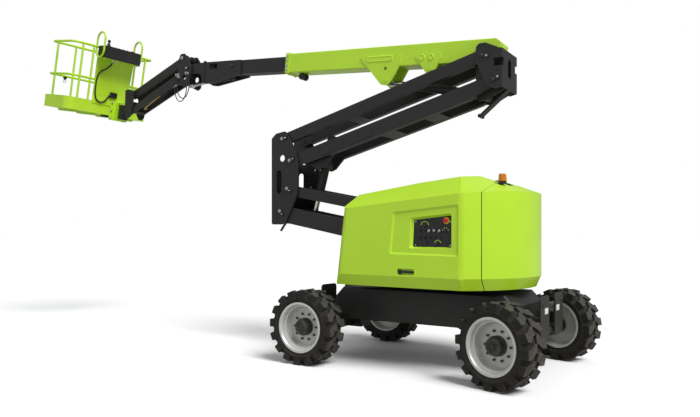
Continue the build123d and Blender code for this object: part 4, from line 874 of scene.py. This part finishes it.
@dataclass
class BoomDetail:
    """Collar bolts, tail cover, embossing and nose rollers of the main boom; knob of the fly section.

    Attributes:
        collar: distance of the collar from the boom's pivot.
        side: half the width of the boom.
        edge: half the height of the collar.
    """

    collar: float = 2.800
    side: float = 0.132
    edge: float = 0.143

    def build(self) -> None:
        """Draws the pieces on the main boom and on the fly section."""
        self._ends()
        self._embossing()
        roller, knob = Draft(), Draft()
        for side in (-1, 1):
            roller.lathe(
                [(0, 0.02), (0.040, 0.02), (0.046, 0.026), (0.046, 0.056), (0.040, 0.062), (0.016, 0.062),
                 (0.014, 0.068), (0, 0.068)],
                boom_at(2.600, -0.172, 0), Vector((0, side, 0)), 36,
            )
        roller.place("nose_rollers", "main_boom", HUB)
        knob.lathe(
            [(0, 0), (0.012, 0), (0.012, 0.008), (0.022, 0.012), (0.024, 0.022), (0.018, 0.03), (0, 0.032)],
            boom_at(3.830, 0.02, -0.1), NEAR, 24,
        )
        knob.place("fly_knob", "fly_boom", HUB)

    def _ends(self) -> None:
        """Draws the bolts of the collar and the cover of the tail."""
        along = (boom_at(1, 0, 0) - boom_at(0, 0, 0)).normalized()
        rise = (boom_at(0, 1, 0) - boom_at(0, 0, 0)).normalized()
        bolts = Draft()
        for across in (-0.095, -0.035, 0.035, 0.095):
            for side in (-1, 1):
                bolts.bolt(boom_at(self.collar, across, side * self.side), Vector((0, side, 0)), 0.019)
        for y in (-0.07, 0.07):
            bolts.bolt(boom_at(self.collar, self.edge, y), rise, 0.019)
            bolts.bolt(boom_at(self.collar, -self.edge, y), -rise, 0.019)
        bolts.place("collar_bolts", "main_boom", ZINC)
        turn = Matrix((along, NEAR, rise)).transposed().to_4x4()
        cover = Draft()
        cover.block(Matrix.Translation(boom_at(-0.207, 0.010, 0)) @ turn, (0.008, 0.200, 0.110), 0.003)
        cover.block(Matrix.Translation(boom_at(-0.214, 0.010, 0)) @ turn, (0.010, 0.016, 0.100), 0.003)
        cover.place("tail_cover", "main_boom", GREEN)
        screws = Draft()
        for y in (-0.085, 0.085):
            for across in (-0.030, 0.050):
                screws.bolt(boom_at(-0.211, across, y), -along, 0.012)
        screws.place("tail_cover_screws", "main_boom", ZINC)

    def _embossing(self) -> None:
        """Draws the long frame and the two rings pressed into the lug's sides."""
        emboss = Draft()
        for side in (-1, 1):
            rings = []
            for grow, y in ((0.010, 0.1315), (-0.004, 0.1405), (-0.016, 0.1365)):
                spots = [
                    boom_at(1.3475 + a * (0.1825 + grow), -0.0275 + b * (0.0325 + grow), 0)
                    for a, b in ((-1, -1), (1, -1), (1, 1), (-1, 1))
                ]
                rings.append((rounded([(p.x, p.z) for p in spots], 0.026 + grow / 2), side * y))
            splay(emboss, rings)
            for at in (0.640, 0.760):
                emboss.lathe(
                    [(0.040, -0.001), (0.034, 0.0085), (0.026, 0.0085), (0.020, 0.004), (0.040, -0.001)],
                    boom_at(at, -0.045, side * self.side), Vector((0, side, 0)), 36,
                )
        emboss.place("lug_embossing", "main_boom", GREEN)


@dataclass
class RiserHoses:
    """Hoses clamped along the far side of the upper riser."""

    body: str = "upper_riser_upper"
    hoses: int = 3
    diameter: float = 0.018
    clamps: Sequence[float] = (0.44, 0.86, 1.40, 1.94, 2.34)
    bows: Sequence[tuple[float, float]] = (
        (0.46, 0), (0.60, 0), (0.95, 0.002), (1.35, 0), (1.75, 0.002), (2.15, 0), (2.32, 0)
    )

    def build(self) -> None:
        """Draws the hoses, their end fittings and the clamps between."""
        start = Vector(JOINTS["riser_upper_upper"]["pos_m"])
        angle = math.radians(UPPER_RISER_ANGLE)
        along = Vector((math.cos(angle), 0, math.sin(angle)))
        rise = Vector((-along.z, 0, along.x))
        ends, clamps = Draft(), Draft()
        for count in range(self.hoses):
            lift = rise * (-0.03 + 0.026 * count)
            route = [start + along * at + lift + Vector((0, 0.245 + bow, 0)) for at, bow in self.bows]
            hose(f"riser_hose_{count}", route, self.diameter, self.body)
            fitting(ends, route[0] - along * 0.04, along, self.diameter)
            fitting(ends, route[-1] + along * 0.04, -along, self.diameter)
        turn = Matrix((along, NEAR, rise)).transposed().to_4x4()
        for at in self.clamps:
            spot = start + along * at - rise * 0.004 + Vector((0, 0.242, 0))
            clamps.block(Matrix.Translation(spot) @ turn, (0.036, 0.034, 0.100), 0.004)
        ends.place("riser_hose_fittings", self.body, ZINC)
        clamps.place("riser_hose_clamps", self.body, PANEL)


@dataclass
class JibHoses:
    """Two hoses that hang in loops from the near plate of the jib base."""

    body: str = "jib_base"
    plate: float = 0.140

    def build(self) -> None:
        """Draws the hanging loops and their fittings."""
        pivot = Vector(JOINTS["jib_base_level"]["pos_m"])
        ends = Draft()
        for count, (drop, y, length) in enumerate(((0.27, -0.170, 0.92), (0.22, -0.150, 0.83))):
            spots = (
                (-0.205, -0.10), (-0.225, -0.16), (-0.235, -0.16 - 0.6 * drop), (-0.17, -0.22 - drop),
                (-0.05, -0.24 - drop), (0.03, -0.18 - 0.7 * drop), (0.02, -0.17), (0.0, -0.10),
            )
            route = [pivot + Vector((x + 0.03 * count, y, z)) for x, z in spots]
            loop = hose(f"jib_hose_{count}", route, 0.014, self.body)
            for spot in (route[0], route[-1]):
                ends.lathe(
                    [(0, -0.03), (0.011, -0.03), (0.011, 0.004), (0.009, 0.008), (0, 0.008)],
                    spot + Vector((0, 0, 0.004)), -UP, 14,
                )
                ends.block(
                    Matrix.Translation((spot.x, (y - self.plate) / 2, spot.z + 0.024)),
                    (0.026, abs(y + self.plate) + 0.016, 0.026), 0.004,
                )
        ends.place("jib_hose_fittings", self.body, ZINC)


@dataclass
class PlatformDetail:
    """Controls, loom, apron, fasteners, tread and lanyard points of the platform.

    Attributes:
        body: CAD body they move with.
        top: height of the control box over the platform's axes.
        stud_height: height of the middle of the tread studs.
        stud_pitch: distance between rows and between columns of studs.
        stud_rows: rows of studs.
        stud_columns: studs in a row.
        rail: X of the outer middle rail.
    """

    body: str = "platform"
    top: float = 1.076
    stud_height: float = 0.050
    stud_pitch: tuple[float, float] = (0.048, 0.0488)
    stud_rows: int = 13
    stud_columns: int = 28
    rail: float = -0.340

    def spot(self, x: float, y: float, z: float) -> Vector:
        """Gives a point of the platform in the frame, from its own axes."""
        return PLATFORM @ Vector((x, y, z))

    def seat(self, x: float, y: float, z: float) -> Matrix:
        """Gives the matrix of a place in the platform's own axes."""
        return PLATFORM @ Matrix.Translation((x, y, z))

    def build(self) -> None:
        """Draws the platform's pieces."""
        turn = PLATFORM.to_3x3()
        up, out, far = turn @ UP, turn @ Vector((1, 0, 0)), turn @ Vector((0, 1, 0))
        levers, boot = Draft(), Draft()
        for y in (-0.070, 0.000, 0.070, 0.140):
            toggle(levers, self.spot(0.455, y, self.top), up, out if y > 0.05 else -out)
        levers.place("platform_toggles", self.body, ZINC)
        StopButton("platform_stop", self.spot(0.460, 0.235, self.top), up, self.body).build()
        ripple = [(0.048, 0.0), (0.048, 0.006)]
        for fold in range(5):
            rise = 0.012 * fold
            ripple += [(0.042 - 0.005 * fold, 0.012 + rise), (0.034 - 0.004 * fold, 0.018 + rise)]
        ripple += [(0.0135, 0.076), (0.0135, 0.086)]
        stick = self.spot(0.419, -0.180, self.top)
        boot.lathe(ripple, stick, up, 32)
        boot.lathe(
            [(0.013, 0.080), (0.022, 0.088), (0.026, 0.102), (0.022, 0.118), (0.010, 0.126), (0, 0.127)],
            stick, up,
        )
        boot.place("joystick_boot", self.body, HOSE)
        for name, at, size, bevel, finish in (
            ("control_lid", (0.478, 0, self.top + 0.002), (0.222, 0.610, 0.008), 0.003, PANEL),
            ("panel_apron", (0.363, 0, 0.209), (0.008, 0.640, 0.114), 0.002, GREEN),
            ("pedal_housing", (0.285, 0.020, -0.016), (0.100, 0.170, 0.036), 0.006, PANEL),
        ):
            plate = Draft()
            plate.block(self.seat(*at), size, bevel)
            plate.place(name, self.body, finish)
        screws = Draft()
        for y in (-0.285, 0.285):
            for x in (0.380, 0.576):
                screws.bolt(self.spot(x, y, self.top + 0.006), up, 0.010)
        for column in (-0.130, 0.130):
            for row in (-0.080, 0.040, 0.170):
                screws.bolt(self.spot(0.380, 0.165 + column, 0.040 + row), out, 0.019)
        screws.place("platform_bolts", self.body, ZINC)
        self._hose(up)
        self._tread()
        self._rail_fittings(out, far)

    def _hose(self, up: Vector) -> None:
        """Draws the loom from under the control box, down the back panel and into the junction box."""
        route = [
            self.spot(*p)
            for p in (
                (0.470, -0.100, 0.890), (0.468, -0.105, 0.820), (0.440, -0.180, 0.730),
                (0.395, -0.270, 0.660), (0.381, -0.292, 0.560), (0.381, -0.294, 0.440),
                (0.381, -0.290, 0.300), (0.381, -0.250, 0.205), (0.381, -0.165, 0.180),
                (0.381, -0.090, 0.230), (0.381, -0.055, 0.300), (0.381, -0.020, 0.330),
            )
        ]
        loom = hose("control_loom", route, 0.022, self.body)
        glands = Draft()
        for at, axis in ((route[0], -up), (route[-1], (route[-2] - route[-1]).normalized())):
            glands.lathe(
                [(0, -0.004), (0.017, -0.004), (0.017, 0.012), (0.016, 0.016), (0.0135, 0.03), (0, 0.03)],
                at, axis, 24,
            )
        glands.place("loom_glands", self.body, PANEL)
        plugs = Draft()
        for y in (-0.120, -0.060):
            plugs.lathe(
                [(0, 0), (0.014, 0), (0.014, 0.02), (0.010, 0.024), (0.010, 0.034), (0, 0.034)],
                self.spot(0.500, y, 0.880), -up, 18,
            )
        plugs.place("loom_plugs", self.body, WHITE)

    def _tread(self) -> None:
        """Draws the raised anti-slip studs of the floor."""
        studs = Draft()
        deep, wide = self.stud_pitch
        for row in range(self.stud_rows):
            for column in range(self.stud_columns):
                x = -0.288 + deep * row
                y = -0.671 + wide * column + (wide / 2 if row % 2 else 0.0)
                bmesh.ops.create_cone(
                    studs.bm, cap_ends=True, segments=8, radius1=0.008, radius2=0.005, depth=0.0026,
                    matrix=self.seat(x, y, self.stud_height),
                )
        studs.place("tread_studs", self.body, GREEN)

    def _rail_fittings(self, out: Vector, far: Vector) -> None:
        """Draws the lanyard eyes and the black clips on the outer middle rail."""
        eyes, clips = Draft(), Draft()
        for y in (-0.45, 0.45):
            clips.lathe(
                [(0.020, -0.022), (0.025, -0.022), (0.025, 0.022), (0.020, 0.022), (0.020, -0.022)],
                self.spot(self.rail, y, 0.520), far, 24,
            )
            clips.block(self.seat(self.rail, y, 0.488), (0.014, 0.030, 0.030), 0.003)
            eye = bmesh.ops.create_circle(
                eyes.bm, segments=10, radius=0.005, matrix=self.seat(self.rail, y + 0.024, 0.455)
            )
            rim = list({e for v in eye["verts"] for e in v.link_edges})
            eyes.spin(eye["verts"] + rim, self.spot(self.rail, y, 0.455), out, 24)
        clips.place("rail_clips", self.body, PANEL)
        eyes.place("lanyard_eyes", self.body, ZINC)


@dataclass
class ChassisDetail:
    """Blank plates on the guards, and their screws."""

    def build(self) -> None:
        """Draws the pieces at both ends of the chassis."""
        plates, screws = Draft(), Draft()
        for end in (-1, 1):
            out = Vector((end, 0, 0))
            for y in (-0.225, 0.225):
                spot = Vector((end * 1.364, y, 0.700))
                plates.block(Matrix.Translation(spot), (0.003, 0.120, 0.062), 0.001)
                for dy in (-0.05, 0.05):
                    screws.bolt(spot + Vector((end * 0.0015, dy, 0)), out, 0.007, washer=False)
        plates.place("blank_plates", "chassis", WHITE)
        screws.place("plate_screws", "chassis", ZINC)


@dataclass
class Stage:
    """Camera, light and floor.

    Attributes:
        eye: place of the camera.
        turns: its yaw, pitch and roll in degrees.
        focal_px: its focal length in pixels of the photo.
        width_px: width of the photo in pixels.
        sensor_mm: width of the sensor.
    """

    eye: tuple[float, float, float] = (3.305, -7.245, 1.508)
    turns: tuple[float, float, float] = (32.01, 2.08, 0.487)
    focal_px: float = 661.1
    width_px: int = 700
    sensor_mm: int = 36

    def build(self) -> None:
        """Sets up the camera, the lights and the floor."""
        self._camera()
        self._lights()
        self._floor()

    def _camera(self) -> None:
        """Sets the camera where the photographer stood."""
        yaw, pitch, roll = (math.radians(a) for a in self.turns)
        ahead = Vector((-math.sin(yaw) * math.cos(pitch), math.cos(yaw) * math.cos(pitch), math.sin(pitch)))
        right = Vector((math.cos(yaw), math.sin(yaw), 0))
        up = right.cross(ahead)
        level = right * math.cos(roll) + up * math.sin(roll)
        upright = up * math.cos(roll) - right * math.sin(roll)
        data = bpy.data.cameras.new("camera")
        data.lens = self.focal_px * self.sensor_mm / self.width_px
        data.sensor_width = self.sensor_mm
        data.clip_end = 400
        seen = bpy.data.objects.new("camera", data)
        bpy.context.scene.collection.objects.link(seen)
        turn = Matrix((level, upright, -ahead)).transposed().to_4x4()
        seen.matrix_world = Matrix.Translation(self.eye) @ turn
        bpy.context.scene.camera = seen

    @staticmethod
    def _lights() -> None:
        """Sets a pale sky, a wide sun above the tail and a white background."""
        scene = bpy.context.scene
        scene.view_settings.view_transform = "Standard"
        world = bpy.data.worlds.new("studio")
        scene.world = world
        world.use_nodes = True
        tree = world.node_tree
        tree.nodes.clear()
        rays = add_node(tree, "ShaderNodeLightPath")
        sky = add_node(tree, "ShaderNodeBackground", {"Color": (0.97, 0.98, 1.0, 1.0), "Strength": 0.36})
        white = add_node(tree, "ShaderNodeBackground", {"Color": (1.0, 1.0, 1.0, 1.0), "Strength": 1.0})
        mixed = add_node(
            tree, "ShaderNodeMixShader",
            {0: rays.outputs["Is Camera Ray"], 1: sky.outputs[0], 2: white.outputs[0]},
        )
        add_node(tree, "ShaderNodeOutputWorld", {"Surface": mixed.outputs[0]})
        for name, source, strength, spread in (
            ("key", (0.80, -0.30, 1.00), 3.3, 30),
            ("fill", (-0.50, -0.90, 0.55), 0.30, 60),
        ):
            data = bpy.data.lights.new(name, "SUN")
            data.energy = strength
            data.angle = math.radians(spread)
            lamp = bpy.data.objects.new(name, data)
            lamp.matrix_world = facing(Vector(), Vector(source))
            scene.collection.objects.link(lamp)

    @staticmethod
    def _floor() -> None:
        """Lays a pale floor that keeps the machine's shadow."""
        bm = bmesh.new()
        bmesh.ops.create_circle(bm, cap_ends=True, segments=64, radius=160.0)
        data = bpy.data.meshes.new("floor")
        bm.to_mesh(data)
        bm.free()
        floor = bpy.data.objects.new("floor", data)
        bpy.context.scene.collection.objects.link(floor)
        pale = bpy.data.materials.new("pale_floor")
        pale.use_nodes = True
        surface = pale.node_tree.nodes["Principled BSDF"]
        seen = add_node(pale.node_tree, "ShaderNodeLightPath").outputs["Is Camera Ray"]
        tone = mix(pale.node_tree, seen, linear("#B4B2AE"), linear("#FAFAFA"))
        pale.node_tree.links.new(tone, surface.inputs["Base Color"])
        surface.inputs["Roughness"].default_value = 0.9
        data.materials.append(pale)


def dress_nodes() -> None:
    """Gives every CAD node its surface, black where nothing else is named."""
    chosen = {node: finish for finish, nodes in NODE_FINISH.items() for node in nodes}
    for name, node in frame["nodes"].items():
        node.data.materials.clear()
        node.data.materials.append(chosen.get(name, BLACK).material())
    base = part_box("beacon")[0].z + 0.0305
    second_finish("beacon", HUB, lambda spot: spot.z < base)


def main() -> None:
    """Builds the scene."""
    logging.basicConfig(level=logging.INFO)
    Stage().build()
    dress_nodes()
    JibHoses().build()
    PlatformDetail().build()
    for wheel in WHEELS:
        Wheel(wheel).build()
    KeeperBolts(
        "mid_upright",
        ((-2.088, 2.763, 190), (-1.960, 2.475, 200), (-2.002, 2.056, 150), (-2.129, 1.745, 130)),
    ).build()
    KeeperBolts("upper_upright", ((0.6623, 3.5102, -20), (0.7903, 3.2222, 20)), sunk=0.013).build()
    JibPins("jib_base", ("jib_base_level", "jib_lift", "jib_upper_turn"), 0.146).build()
    for name in ("riser", "lift", "level", "jib"):
        Ram(f"{name}_barrel", f"{name}_barrel_turn", f"{name}_rod_slide").build()
    GroundControls().build()
    BoomDetail().build()
    RiserHoses().build()
    ChassisDetail().build()


if __name__ == "__main__":
    main()
